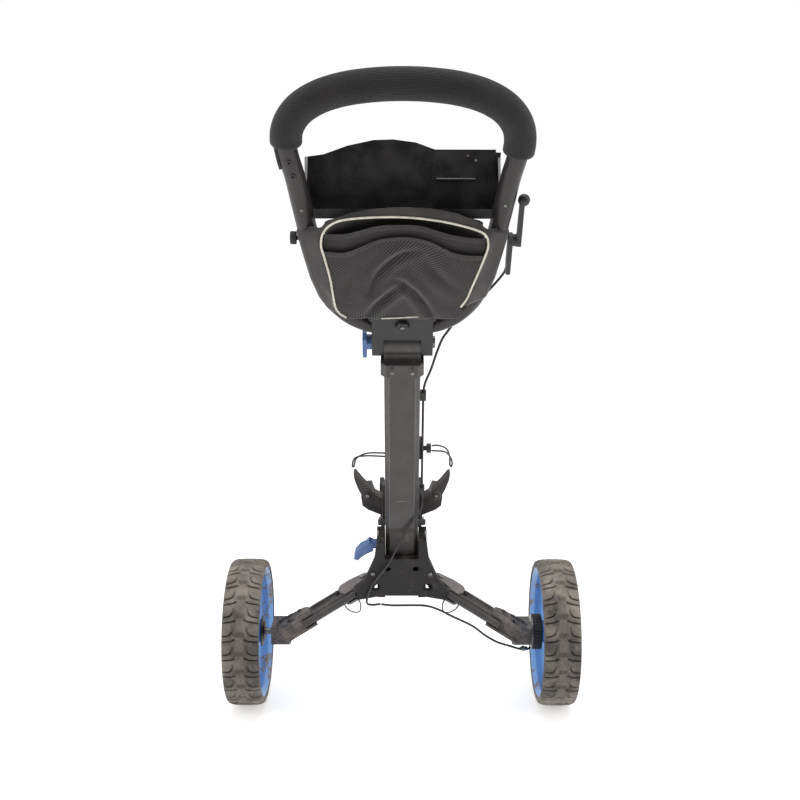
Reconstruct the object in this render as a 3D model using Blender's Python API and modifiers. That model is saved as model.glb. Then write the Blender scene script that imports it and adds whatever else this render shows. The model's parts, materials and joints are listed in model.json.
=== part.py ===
"""Golf push trolley: three wheels, a folding mast, folding legs and a folding handle with a console.

Metres, +Z up. +Y is the way the trolley is pushed, +X is its right-hand side.
The origin is on the ground, under the middle of the box that holds the whole trolley.
"""
import math

import bmesh
import bpy
from mathutils import Matrix, Vector

# ---------------------------------------------------------------- driving dimensions
GAP = 0.0003            # between pieces that touch
RUN = 0.0003            # radial clearance of a pin in its hole

WHEEL_R = 0.140
TYRE_W = 0.0686
TRACK = 0.594           # between the middles of the rear wheels
WHEELBASE = 0.620       # rear axle to front axle

FOLD_BACK = 0.031       # main fold axis, behind the rear axle
FOLD_RISE = 0.160       # and above the rear axle
MAST_LEAN = math.radians(21.1)
MAST_LENGTH = 0.4877    # main fold axis to handle hinge
TUBE_W = 0.060          # mast tube, across its flats
TUBE_WALL = 0.0022
TUBE_CHAMFER = 0.008

HANDLE_LEAN = math.radians(31.4)
HANDLE_LENGTH = 0.4687  # handle hinge to the middle of the arch
RAIL_R = 0.015
RAIL_WALL = 0.0017
GRIP_R = 0.023

LEG_TUBE_D = 0.038      # front to back
LEG_WALL = 0.0022
LEG_HINGE_OUT = 0.022   # outwards from the hub's cheek
LEG_HINGE_BACK = 0.023  # behind the rear axle
LEG_HINGE_RISE = 0.112  # and above it
LEG_END_IN = 0.0752     # outer end of the leg tube, inwards from the wheel's face
LEG_END_BACK = 0.0538   # the same end, behind the rear axle
LEG_END_RISE = 0.0467   # and above it

CHEEK_PLAY = 0.0010     # between the mast tube and a hub cheek
CHEEK_T = 0.0145
PIN_R = 0.006
AXLE_R = 0.006
BEARING_R = 0.014
CABLE_R = 0.0021
ELASTIC_R = 0.0016
CONSOLE_WALL = 0.0025
POCKET_WALL = 0.0025

# ---------------------------------------------------------------- derived dimensions
FOLD_HEIGHT = WHEEL_R + FOLD_RISE
LEG_HINGE_HEIGHT = WHEEL_R + LEG_HINGE_RISE
HINGE_BACK = FOLD_BACK + MAST_LENGTH * math.sin(MAST_LEAN)
HINGE_HEIGHT = FOLD_HEIGHT + MAST_LENGTH * math.cos(MAST_LEAN)
BACK_END = HINGE_BACK + HANDLE_LENGTH * math.sin(HANDLE_LEAN) + GRIP_R
FRONT_END = WHEELBASE + WHEEL_R
REAR_AXLE_Y = (BACK_END - FRONT_END) / 2
TUBE_HALF = TUBE_W / 2

RIM_R = WHEEL_R - 0.0145     # rim flange
SEAT_R = WHEEL_R - 0.022     # where the tyre sits on the rim
SEAT_HALF = TYRE_W / 2 - 0.008
WHEEL_FACE = TRACK / 2 - TYRE_W / 2
CHEEK_IN = TUBE_HALF + CHEEK_PLAY
CHEEK_OUT = CHEEK_IN + CHEEK_T
LEG_HINGE_X = CHEEK_OUT + LEG_HINGE_OUT

# the leg runs from its hinge on the hub to its outer end beside the wheel
LEG_OUT = WHEEL_FACE - LEG_END_IN - LEG_HINGE_X
LEG_BACK = LEG_END_BACK - LEG_HINGE_BACK
LEG_DOWN = LEG_HINGE_HEIGHT - WHEEL_R - LEG_END_RISE
LEG_SWEEP = math.atan2(LEG_BACK, LEG_OUT)
LEG_DROP = math.atan2(LEG_DOWN, math.hypot(LEG_OUT, LEG_BACK))
LEG_LENGTH = math.hypot(LEG_OUT, LEG_BACK, LEG_DOWN)

COLOURS = {
    "tyre": ((0.075, 0.067, 0.060), 0.85, 0.0),
    "rim": ((0.105, 0.262, 0.631), 0.45, 0.0),
    "black": ((0.020, 0.020, 0.021), 0.55, 0.0),
    "cast": ((0.052, 0.048, 0.045), 0.60, 0.3),
    "tube": ((0.100, 0.098, 0.095), 0.45, 0.3),
    "plate": ((0.230, 0.205, 0.200), 0.50, 0.3),
    "blue": ((0.130, 0.250, 0.500), 0.45, 0.0),
    "steel": ((0.350, 0.340, 0.330), 0.40, 0.9),
    "foam": ((0.030, 0.029, 0.030), 0.90, 0.0),
    "mesh": ((0.028, 0.028, 0.029), 0.90, 0.0),
    "cord": ((0.120, 0.115, 0.110), 0.60, 0.0),
}

# side view (y, z), front view (x, z) and top view (x, y) of an outline drawn in a curve's own plane
SIDE_VIEW = (math.radians(90), 0, math.radians(90))
FRONT_VIEW = (math.radians(90), 0, 0)
TOP_VIEW = (0, 0, 0)
ALONG_X = (0, math.radians(90), 0)
ALONG_Y = (math.radians(-90), 0, 0)

for old in list(bpy.data.objects):
    bpy.data.objects.remove(old, do_unlink=True)

PARTS = bpy.data.collections.new("golf_push_trolley")
CUTTERS = bpy.data.collections.new("cutters")
bpy.context.scene.collection.children.link(PARTS)
bpy.context.scene.collection.children.link(CUTTERS)


# ---------------------------------------------------------------- modelling helpers
def add_object(name, data, parent, at, turn, collection):
    obj = bpy.data.objects.new(name, data)
    collection.objects.link(obj)
    obj.parent = parent
    obj.location = at
    obj.rotation_euler = turn
    return obj


def axis_empty(name, at, turn=(0, 0, 0), parent=None, size=0.03):
    empty = add_object(name, None, parent, at, turn, PARTS)
    empty.empty_display_size = size
    return empty


def paint(obj, colour):
    """Give a part its own Principled material."""
    rgb, roughness, metallic = COLOURS[colour]
    material = bpy.data.materials.new(obj.name)
    material.use_nodes = True
    shader = material.node_tree.nodes["Principled BSDF"]
    shader.inputs["Base Color"].default_value = (*rgb, 1)
    shader.inputs["Roughness"].default_value = roughness
    shader.inputs["Metallic"].default_value = metallic
    material.diffuse_color = (*rgb, 1)
    obj.data.materials.clear()
    obj.data.materials.append(material)
    return obj


def shade_round(obj):
    for face in obj.data.polygons:
        face.use_smooth = True
    return obj


def block(name, low, high, parent=None, turn=(0, 0, 0), collection=None):
    """A box between two opposite corners."""
    low = Vector(low)
    high = Vector(high)
    bm = bmesh.new()
    bmesh.ops.create_cube(bm, size=1)
    bmesh.ops.scale(bm, vec=high - low, verts=bm.verts)
    bmesh.ops.translate(bm, vec=(low + high) / 2, verts=bm.verts)
    mesh = bpy.data.meshes.new(name)
    bm.to_mesh(mesh)
    bm.free()
    return add_object(name, mesh, parent, (0, 0, 0), turn, collection or PARTS)


def rod(name, radius, length, at, turn=ALONG_X, parent=None, sides=24, top_radius=None, collection=None):
    """A cylinder or cone that starts at a point and runs along its own +Z."""
    bm = bmesh.new()
    top = radius if top_radius is None else top_radius
    bmesh.ops.create_cone(bm, cap_ends=True, segments=sides, radius1=radius, radius2=top, depth=length)
    bmesh.ops.translate(bm, vec=(0, 0, length / 2), verts=bm.verts)
    mesh = bpy.data.meshes.new(name)
    bm.to_mesh(mesh)
    bm.free()
    for face in mesh.polygons:
        face.use_smooth = len(face.vertices) == 4
    return add_object(name, mesh, parent, at, turn, collection or PARTS)


def ball(name, radius, at, parent=None, collection=None):
    bm = bmesh.new()
    bmesh.ops.create_uvsphere(bm, u_segments=12, v_segments=8, radius=radius)
    mesh = bpy.data.meshes.new(name)
    bm.to_mesh(mesh)
    bm.free()
    return shade_round(add_object(name, mesh, parent, at, (0, 0, 0), collection or PARTS))


def turned(name, profile, at, turn=ALONG_X, parent=None, steps=40, closed=True):
    """A turned piece: a profile of (radius, height) points, swept round its own Z axis."""
    mesh = bpy.data.meshes.new(name)
    verts = [(radius, 0, height) for radius, height in profile]
    edges = [(i, i + 1) for i in range(len(verts) - 1)]
    if closed:
        edges.append((len(verts) - 1, 0))
    mesh.from_pydata(verts, edges, [])
    obj = add_object(name, mesh, parent, at, turn, PARTS)
    screw = obj.modifiers.new("Turn", "SCREW")
    screw.axis = "Z"
    screw.steps = steps
    screw.render_steps = steps
    screw.use_merge_vertices = True
    screw.merge_threshold = 0.00001
    screw.use_smooth_shade = True
    return obj


def mesh_from_curve(curve_obj, name, collection):
    """Turn a curve object into a mesh object with welded caps."""
    bpy.context.view_layer.update()
    depsgraph = bpy.context.evaluated_depsgraph_get()
    mesh = bpy.data.meshes.new_from_object(curve_obj.evaluated_get(depsgraph))
    bm = bmesh.new()
    bm.from_mesh(mesh)
    bmesh.ops.remove_doubles(bm, verts=bm.verts, dist=0.00001)
    bmesh.ops.recalc_face_normals(bm, faces=bm.faces)
    bm.to_mesh(mesh)
    bm.free()
    parent, at, turn = curve_obj.parent, curve_obj.location.copy(), curve_obj.rotation_euler.copy()
    bpy.data.objects.remove(curve_obj, do_unlink=True)
    mesh.name = name
    return add_object(name, mesh, parent, at, turn, collection)


def extruded(name, outlines, start, end, view, parent=None, at=(0, 0, 0), collection=None):
    """Flat outlines pushed from start to end along the view's depth. Inner outlines are holes."""
    curve = bpy.data.curves.new(name, "CURVE")
    curve.dimensions = "2D"
    curve.fill_mode = "BOTH"
    curve.extrude = abs(end - start) / 2
    for outline in outlines:
        spline = curve.splines.new("POLY")
        spline.points.add(len(outline) - 1)
        for point, (u, v) in zip(spline.points, outline):
            point.co = (u, v, 0, 1)
        spline.use_cyclic_u = True
    depth = {SIDE_VIEW: Vector((1, 0, 0)), FRONT_VIEW: Vector((0, 1, 0)), TOP_VIEW: Vector((0, 0, 1))}[view]
    place = Vector(at) + depth * (start + end) / 2
    flat = add_object(name + "_outline", curve, parent, place, view, PARTS)
    return mesh_from_curve(flat, name, collection or PARTS)


def tube(name, points, radius, parent=None, sides_level=2, wall=0.0, closed=False, collection=None):
    """A bent wire or, with a wall, a bent pipe with open ends."""
    curve = bpy.data.curves.new(name, "CURVE")
    curve.dimensions = "3D"
    curve.bevel_depth = radius
    curve.bevel_resolution = sides_level
    curve.use_fill_caps = wall == 0
    spline = curve.splines.new("POLY")
    spline.points.add(len(points) - 1)
    for point, place in zip(spline.points, points):
        point.co = (*place, 1)
    spline.use_cyclic_u = closed
    bent = add_object(name + "_path", curve, parent, (0, 0, 0), (0, 0, 0), PARTS)
    obj = shade_round(mesh_from_curve(bent, name, collection or PARTS))
    if wall:
        shell = obj.modifiers.new("Wall", "SOLIDIFY")
        shell.thickness = wall
        shell.offset = -1
    return obj


def smooth_path(points, step):
    """Points along a Catmull-Rom curve through the given points, about one step apart."""
    knots = [Vector(p) for p in points]
    ends = [2 * knots[0] - knots[1]] + knots + [2 * knots[-1] - knots[-2]]
    path = []
    for a, b, c, d in zip(ends, ends[1:], ends[2:], ends[3:]):
        count = max(1, round((c - b).length / step))
        for i in range(count):
            t = i / count
            path.append(0.5 * (2 * b + (c - a) * t + (2 * a - 5 * b + 4 * c - d) * t ** 2
                               + (3 * b - a - 3 * c + d) * t ** 3))
    path.append(knots[-1])
    return path


def combine(target, tool, operation):
    """Boolean of two parts. The tool is kept as a hidden cutter."""
    for user in tool.users_collection:
        user.objects.unlink(tool)
    CUTTERS.objects.link(tool)
    tool.hide_render = True
    tool.display_type = "WIRE"
    modifier = target.modifiers.new(tool.name, "BOOLEAN")
    modifier.operation = operation
    modifier.object = tool
    modifier.solver = "EXACT"
    return target


def cut(target, tool):
    return combine(target, tool, "DIFFERENCE")


def join(target, tool):
    return combine(target, tool, "UNION")


def arc(centre, radius, start, end, count):
    """Points on an arc, angles in degrees, anticlockwise from +u."""
    u, v = centre
    angles = [math.radians(start + (end - start) * i / (count - 1)) for i in range(count)]
    return [(u + radius * math.cos(a), v + radius * math.sin(a)) for a in angles]


def octagon(half_x, half_y, chamfer):
    """A rectangle with cut corners."""
    return [(half_x, -half_y + chamfer), (half_x, half_y - chamfer), (half_x - chamfer, half_y),
            (-half_x + chamfer, half_y), (-half_x, half_y - chamfer), (-half_x, -half_y + chamfer),
            (-half_x + chamfer, -half_y), (half_x - chamfer, -half_y)]


def mirrored(outline):
    """A right half outline, from the middle line outwards and back, completed with its left half."""
    half = list(outline)
    if abs(half[0][1] - half[1][1]) < 1e-6:
        half = half[1:]
    if abs(half[-1][1] - half[-2][1]) < 1e-6:
        half = half[:-1]
    return half + [(-u, v) for u, v in reversed(half) if abs(u) > 1e-9]


# ---------------------------------------------------------------- frames of the moving groups
base = axis_empty("ground_under_rear_axle", (0, REAR_AXLE_Y, 0))
mast_axis = axis_empty("mast_axis", (0, -FOLD_BACK, FOLD_HEIGHT), (MAST_LEAN, 0, 0), base)
handle_axis = axis_empty("handle_axis", (0, -HINGE_BACK, HINGE_HEIGHT), (HANDLE_LEAN, 0, 0), base)


def leg_turn(side):
    """Turn of a leg's frame: x outwards along the leg, z square to its hinge plates."""
    along = Vector((side * math.cos(LEG_DROP) * math.cos(LEG_SWEEP),
                    -math.cos(LEG_DROP) * math.sin(LEG_SWEEP), -math.sin(LEG_DROP)))
    level = Vector((math.sin(LEG_SWEEP) * side, math.cos(LEG_SWEEP), 0))
    up = along.cross(level) * side
    across = up.cross(along)
    return Matrix((along, across, up)).transposed().to_euler()


SIDES = {"left": -1, "right": 1}
leg_axis = {}
wheel_axis = {}
for side_name, side in SIDES.items():
    place = (side * LEG_HINGE_X, -LEG_HINGE_BACK, LEG_HINGE_HEIGHT)
    leg_axis[side_name] = axis_empty("leg_axis_" + side_name, place, leg_turn(side), base)
    wheel_axis[side_name] = axis_empty("wheel_axis_" + side_name, (side * TRACK / 2, 0, WHEEL_R),
                                       (0, side * math.radians(90), 0), base)
wheel_axis["front"] = axis_empty("wheel_axis_front", (0, WHEELBASE, WHEEL_R), ALONG_X, base)


# ---------------------------------------------------------------- wheels
def tyre(name, parent):
    """Airless tyre with a hollow underside, open towards the rim."""
    half = TYRE_W / 2
    wall = 0.0055
    profile = [(WHEEL_R - 0.002, half - 0.009), (WHEEL_R, 0), (WHEEL_R - 0.002, -half + 0.009),
               (WHEEL_R - 0.009, -half + 0.001), (RIM_R + GAP, -half), (RIM_R + GAP, -SEAT_HALF - 0.001),
               (SEAT_R + GAP, -SEAT_HALF + GAP), (SEAT_R + GAP, -SEAT_HALF + wall),
               (WHEEL_R - 0.011, -SEAT_HALF + wall), (WHEEL_R - 0.011, SEAT_HALF - wall),
               (SEAT_R + GAP, SEAT_HALF - wall), (SEAT_R + GAP, SEAT_HALF - GAP),
               (RIM_R + GAP, SEAT_HALF + 0.001), (RIM_R + GAP, half), (WHEEL_R - 0.009, half - 0.001)]
    return paint(turned(name, profile, (0, 0, 0), (0, 0, 0), parent, steps=32), "tyre")


def rim(name, parent):
    """One-piece rim: tyre seat with two flanges, a dished disc and a hub bored for its bearing."""
    hub_r = BEARING_R + 0.008
    hub_half = 0.024
    profile = [(RIM_R, SEAT_HALF + 0.0055), (RIM_R, SEAT_HALF + 0.002), (SEAT_R, SEAT_HALF + GAP),
               (SEAT_R, -SEAT_HALF - GAP), (RIM_R, -SEAT_HALF - 0.002), (RIM_R, -SEAT_HALF - 0.0055),
               (RIM_R - 0.004, -SEAT_HALF - 0.0055), (SEAT_R - 0.004, -SEAT_HALF + 0.002),
               (SEAT_R - 0.004, -0.014), (0.080, -0.002), (0.045, -0.004), (hub_r, -0.012),
               (hub_r, -hub_half),
               (BEARING_R + GAP, -hub_half), (BEARING_R + GAP, hub_half), (hub_r, hub_half),
               (hub_r, -0.007), (0.045, 0.001), (0.080, 0.003), (SEAT_R - 0.004, -0.009),
               (SEAT_R - 0.004, SEAT_HALF - 0.002), (RIM_R - 0.004, SEAT_HALF + 0.0055)]
    return paint(turned(name, profile, (0, 0, 0), (0, 0, 0), parent, steps=32), "rim")


def bearing(name, parent):
    half = 0.0235
    profile = [(BEARING_R, half), (BEARING_R, -half), (AXLE_R + RUN, -half), (AXLE_R + RUN, half)]
    return paint(turned(name, profile, (0, 0, 0), (0, 0, 0), parent, steps=24), "steel")


for wheel_name, parent in wheel_axis.items():
    tyre("tyre_" + wheel_name, parent)
    rim("rim_" + wheel_name, parent)
    bearing("bearing_" + wheel_name, parent)

AXLE_END = 0.030                 # past the middle of a rear wheel
BLOCK_OUT = WHEEL_FACE - 0.0155  # outer face of the axle block
AXLE_DEPTH = 0.022               # of the stub axle in its block
for side_name, side in SIDES.items():
    reach = TRACK / 2 - BLOCK_OUT + AXLE_DEPTH
    paint(rod("axle_" + side_name, AXLE_R, reach + AXLE_END - 0.004, (0, 0, -reach), (0, 0, 0),
              wheel_axis[side_name]), "steel")
    cap = turned("hub_cap_" + side_name, [(0, 0.0345), (0.010, 0.0340), (0.019, 0.030), (0.021, 0.0243),
                                          (BEARING_R + 0.001, 0.0243), (BEARING_R + 0.001, 0.028),
                                          (0, 0.028)],
                 (0, 0, 0), (0, 0, 0), wheel_axis[side_name], steps=24, closed=False)
    paint(cap, "black")

# brake drum on the right wheel, its back plate on the leg, the cam arm and the cable adjuster
DRUM_R = 0.034
DRUM_BACK = -0.0425
drum = turned("brake_drum", [(DRUM_R, DRUM_BACK + 0.017), (DRUM_R, DRUM_BACK), (DRUM_R - 0.004, DRUM_BACK),
                             (DRUM_R - 0.004, DRUM_BACK + 0.013), (AXLE_R + 0.003, DRUM_BACK + 0.013),
                             (AXLE_R + 0.003, DRUM_BACK + 0.017)],
              (0, 0, 0), (0, 0, 0), wheel_axis["right"], steps=32)
paint(drum, "black")
plate = turned("brake_plate", [(DRUM_R - 0.001, DRUM_BACK - GAP), (DRUM_R - 0.001, DRUM_BACK - 0.003),
                               (AXLE_R + GAP, DRUM_BACK - 0.003), (AXLE_R + GAP, DRUM_BACK - GAP)],
               (0, 0, 0), (0, 0, 0), wheel_axis["right"], steps=32)
paint(plate, "steel")

# ---------------------------------------------------------------- front wheel, fork and front arm
FORK_IN = TYRE_W / 2 + 0.006
FORK_T = 0.010
CROWN_Y = WHEELBASE - WHEEL_R - 0.008
CROWN_Z = FOLD_HEIGHT - 0.028
ARM_W = 0.040
ARM_H = 0.030
fork = block("fork", (-FORK_IN - FORK_T, CROWN_Y - 0.034, CROWN_Z - 0.024),
             (FORK_IN + FORK_T, CROWN_Y, CROWN_Z + 0.024), base)
for side in (-1, 1):
    blade = [(CROWN_Y - 0.034, CROWN_Z - 0.024), (WHEELBASE - 0.014, WHEEL_R - 0.006)] \
        + arc((WHEELBASE, WHEEL_R), 0.016, 200, 400, 7) + [(CROWN_Y + 0.020, CROWN_Z + 0.024),
                                                            (CROWN_Y - 0.034, CROWN_Z + 0.024)]
    join(fork, extruded(f"fork_blade_{side}", [blade], side * FORK_IN, side * (FORK_IN + FORK_T), SIDE_VIEW,
                        base))
front_axle_half = FORK_IN + FORK_T + 0.006
cut(fork, rod("fork_bore", AXLE_R + RUN, 2 * front_axle_half + 0.02, (0, 0, -front_axle_half - 0.01),
              (0, 0, 0),
              wheel_axis["front"], collection=CUTTERS))
paint(fork, "cast")
front_axle = rod("axle_front", AXLE_R, 2 * front_axle_half, (0, 0, -front_axle_half), (0, 0, 0),
                 wheel_axis["front"])
for end, name in ((FORK_IN + FORK_T + GAP, "nut_a"), (-front_axle_half, "nut_b")):
    join(front_axle, rod(name, AXLE_R + 0.005, 0.0055, (0, 0, end), (0, 0, 0), wheel_axis["front"], sides=6))
paint(front_axle, "steel")

ARM_START = Vector((0, 0.0575, FOLD_HEIGHT - 0.044))
ARM_END = Vector((0, CROWN_Y - 0.0356, CROWN_Z))
arm_line = ARM_END - ARM_START
front_arm = extruded("front_arm", [octagon(ARM_W / 2, ARM_H / 2, 0.005),
                                   octagon(ARM_W / 2 - 0.0022, ARM_H / 2 - 0.0022, 0.004)],
                     0, arm_line.length, TOP_VIEW, axis_empty("arm_line", ARM_START,
                     (math.atan2(arm_line.z, arm_line.y) - math.radians(90), 0, 0), base))
paint(front_arm, "tube")

# ---------------------------------------------------------------- hub
PANEL_BACK = -0.045
PANEL_FRONT = -0.037
skirt = mirrored([(0, -0.048), (0.034, -0.048), (0.083, -0.0598), (0.0845, -0.033), (0.068, -0.006),
                  (0.050, 0.045), (CHEEK_OUT, 0.084), (CHEEK_IN, 0.086), (CHEEK_IN, 0.045), (0, 0.045)])
hub = extruded("hub_casting", [skirt], PANEL_BACK, PANEL_FRONT, FRONT_VIEW, mast_axis)
join(hub, block("hub_stop", (-CHEEK_IN - 0.002, PANEL_FRONT - 0.002, -0.046),
                (CHEEK_IN + 0.002, -TUBE_HALF - 2 * GAP, 0.043), mast_axis))
cheek = [(PANEL_FRONT - 0.002, 0.084), (-0.020, 0.090), (0.002, 0.084), (0.030, 0.045), (0.046, -0.010),
         (0.050, -0.058), (PANEL_FRONT - 0.002, -0.058)]
for side in (-1, 1):
    join(hub, extruded(f"hub_cheek_{side}", [cheek], side * CHEEK_IN, side * CHEEK_OUT, SIDE_VIEW, mast_axis))
join(hub, block("hub_base", (-CHEEK_OUT + 0.001, -0.040, FOLD_HEIGHT - 0.066),
                (CHEEK_OUT - 0.001, 0.050, FOLD_HEIGHT - 0.048), base))
join(hub, block("hub_nose", (-0.026, 0.030, FOLD_HEIGHT - 0.062), (0.026, 0.0555, FOLD_HEIGHT - 0.026), base))

KNUCKLE_R = 0.0105
KNUCKLE_HALF = 0.0105
LEG_PIN_R = 0.004
for side_name, side in SIDES.items():
    web = [(-0.034, -0.010), (0, -KNUCKLE_R)] + arc((0, 0), KNUCKLE_R, -75, 75, 9) + [(0, KNUCKLE_R),
                                                                                      (-0.034, 0.010)]
    join(hub, extruded("hub_knuckle_" + side_name, [web], -KNUCKLE_HALF, KNUCKLE_HALF, TOP_VIEW,
                       leg_axis[side_name]))
    cut(hub, rod("knuckle_bore_" + side_name, LEG_PIN_R + RUN, 0.05, (0, 0, -0.025), TOP_VIEW,
                 leg_axis[side_name],
                 collection=CUTTERS))
cut(hub, rod("fold_bore", PIN_R + RUN, 0.14, (-0.07, 0, 0), ALONG_X, mast_axis, collection=CUTTERS))
for x in (-0.026, 0.026):
    cut(hub, rod(f"window_{x}", 0.0065, 0.030, (x, PANEL_BACK - 0.01, 0.0203), ALONG_Y, mast_axis, sides=6,
                 collection=CUTTERS))
for x in (-0.049, 0.049):
    cut(hub, rod(f"round_window_{x}", 0.0095, 0.022, (x, PANEL_BACK - 0.01, -0.026), ALONG_Y, mast_axis,
                 sides=16,
                 collection=CUTTERS))
paint(hub, "cast")

fold_pin = rod("fold_pin", PIN_R, 2 * CHEEK_OUT + 0.004, (-CHEEK_OUT - 0.002, 0, 0), ALONG_X, mast_axis)
for start in (-CHEEK_OUT - 0.005, CHEEK_OUT + GAP):
    join(fold_pin, rod(f"fold_pin_head_{start:.2f}", PIN_R + 0.004, 0.0047, (start, 0, 0), ALONG_X,
                       mast_axis, sides=16))
paint(fold_pin, "steel")

# lower fold latch on the left cheek: a boss and a thumb tab that turns on it
LATCH_S = 0.054
LATCH_Y = -0.012
BOSS_T = 0.010
lower_latch = rod("lower_latch", 0.009, BOSS_T, (-CHEEK_OUT - GAP - BOSS_T, LATCH_Y, LATCH_S), ALONG_X,
                  mast_axis)
tab = [(-CHEEK_OUT - out, LATCH_S + rise)
       for out, rise in ((0.0075, 0.006), (0.0145, 0.010), (0.0205, 0.002), (0.0305, -0.004),
                         (0.0405, -0.018),
                         (0.0435, -0.032), (0.0365, -0.036), (0.0285, -0.026), (0.0185, -0.018),
                         (0.0075, -0.012))]
join(lower_latch, extruded("latch_tab", [tab], LATCH_Y - 0.008, LATCH_Y + 0.008, FRONT_VIEW, mast_axis))
paint(lower_latch, "blue")

# ---------------------------------------------------------------- legs
PLATE_T = 0.004
PLATE_Z = KNUCKLE_HALF + GAP
TUBE_IN = 0.028
BRACKET_IN = LEG_LENGTH - 0.022
BRACKET_OUT = LEG_LENGTH + 0.046
for side_name, side in SIDES.items():
    frame = leg_axis[side_name]
    half_d = LEG_TUBE_D / 2
    # clevis on the hub's knuckle: two plates and a plug inside the leg tube
    leaf = arc((0, 0), KNUCKLE_R + 0.001, 100, 260, 7) + [(TUBE_IN - 0.002, -half_d + 0.001),
                                                          (0.046, -half_d + 0.002), (0.052, -0.010),
                                                          (0.052, 0.010),
                                                          (0.046, half_d - 0.002),
                                                          (TUBE_IN - 0.002, half_d - 0.001)]
    leaf = [(u, side * v) for u, v in leaf]
    root = extruded("leg_root_" + side_name, [leaf], PLATE_Z, PLATE_Z + PLATE_T, TOP_VIEW, frame)
    join(root, extruded("root_bottom_" + side_name, [leaf], -PLATE_Z - PLATE_T, -PLATE_Z, TOP_VIEW, frame))
    join(root, block("root_web_" + side_name, (KNUCKLE_R + 0.003, -half_d + 0.004, -PLATE_Z - 0.001),
                     (TUBE_IN - GAP, half_d - 0.004, PLATE_Z + 0.001), frame))
    cut(root, rod("root_bore_" + side_name, LEG_PIN_R + RUN, 0.05, (0, 0, -0.025), TOP_VIEW, frame,
                  collection=CUTTERS))
    paint(root, "plate")
    pin = rod("leg_pin_" + side_name, LEG_PIN_R, 2 * (PLATE_Z + PLATE_T) + 0.001,
              (0, 0, -PLATE_Z - PLATE_T - 0.0005),
              TOP_VIEW, frame, sides=16)
    join(pin, rod("leg_pin_head_" + side_name, 0.006, 0.002, (0, 0, PLATE_Z + PLATE_T + GAP), TOP_VIEW,
                  frame, sides=16))
    paint(pin, "steel")

    leg_height = 2 * PLATE_Z - 2 * GAP
    outer = octagon(half_d, leg_height / 2, 0.005)
    inner = octagon(half_d - LEG_WALL, leg_height / 2 - LEG_WALL, 0.004)
    along = axis_empty("leg_section_" + side_name, (TUBE_IN, 0, 0), (math.radians(90), 0, math.radians(90)),
                       frame)
    leg = extruded("leg_tube_" + side_name, [outer, inner], 0, LEG_LENGTH - TUBE_IN, TOP_VIEW, along)
    join(leg, block("leg_rail_" + side_name, (0.056, side * 0.006 - 0.003, leg_height / 2 - 0.001),
                    (BRACKET_IN - 0.004, side * 0.006 + 0.003, leg_height / 2 + 0.003), frame))
    paint(leg, "tube")

    # bracket clamped on the outer end of the leg, with the axle block
    shell = [(BRACKET_IN, -half_d + 0.001), (BRACKET_OUT, -half_d + 0.001), (BRACKET_OUT, half_d + 0.006),
             (BRACKET_IN + 0.010, half_d - 0.001), (BRACKET_IN, half_d - 0.008)]
    shell = [(u, v * side) for u, v in shell]
    top = extruded("wheel_bracket_" + side_name, [shell], leg_height / 2 + GAP, leg_height / 2 + 0.0045,
                   TOP_VIEW, frame)
    join(top, extruded("bracket_bottom_" + side_name, [shell], -leg_height / 2 - 0.0045,
                       -leg_height / 2 - GAP,
                       TOP_VIEW, frame))
    join(top, block("bracket_core_" + side_name, (LEG_LENGTH + GAP, -half_d + 0.006, -leg_height / 2 - 0.002),
                    (BRACKET_OUT - 0.001, half_d - 0.002, leg_height / 2 + 0.002), frame))
    end_block = [(y, WHEEL_R + rise) for y, rise in ((-0.063, 0.037), (-0.063, 0.002), (-0.030, -0.013),
                                                     (0.012, -0.014), (0.016, 0.010), (0.000, 0.032))]
    join(top, extruded("axle_block_" + side_name, [end_block], side * (BLOCK_OUT - 0.034), side * BLOCK_OUT,
                       SIDE_VIEW, base))
    cut(top, rod("axle_bore_" + side_name, AXLE_R + RUN, AXLE_DEPTH + 0.012,
                 (side * (BLOCK_OUT - AXLE_DEPTH - 0.001), 0, WHEEL_R), (0, side * math.radians(90), 0), base,
                 collection=CUTTERS))
    paint(top, "cast")

    bail = smooth_path([(0.029, side * -0.010, -0.0175), (0.030, side * -0.018, -0.024),
                        (0.038, side * -0.022, -0.034),
                        (0.048, side * -0.021, -0.030), (0.055, side * -0.016, -0.021),
                        (0.057, side * -0.009, -0.0135)], 0.004)
    paint(tube("leg_spring_" + side_name, bail, 0.0014, frame), "steel")

# ---------------------------------------------------------------- mast
FOOT_TOP = 0.107         # seam between the foot casting and the mast tube
KNUCKLE_HALF_X = TUBE_HALF  # middle knuckle of the handle hinge
BARREL_R = 0.0235
COLLAR_LOW = MAST_LENGTH - 0.0477
COLLAR_HIGH = MAST_LENGTH - BARREL_R - 0.001
foot_half = TUBE_HALF - GAP
foot = extruded("mast_foot", [octagon(foot_half, foot_half, TUBE_CHAMFER)], 0, FOOT_TOP, TOP_VIEW, mast_axis)
plug_half = TUBE_HALF - TUBE_WALL - GAP
join(foot, extruded("foot_plug", [octagon(plug_half, plug_half, TUBE_CHAMFER - 0.001)], FOOT_TOP - 0.005,
                    FOOT_TOP + 0.030, TOP_VIEW, mast_axis))
join(foot, rod("foot_round", foot_half, 2 * foot_half, (-foot_half, 0, 0), ALONG_X, mast_axis, sides=32))
for side in (-1, 1):
    join(foot, rod(f"foot_stud_{side}", 0.0055, 0.016,
                   (side * (foot_half - 0.001) - (0.015 if side < 0 else 0.001),
                                                        -0.004, FOOT_TOP - 0.007), ALONG_X, mast_axis,
                                                        sides=12))
cut(foot, rod("foot_bore", PIN_R + RUN, 0.08, (-0.04, 0, 0), ALONG_X, mast_axis, collection=CUTTERS))
paint(foot, "cast")

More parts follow.
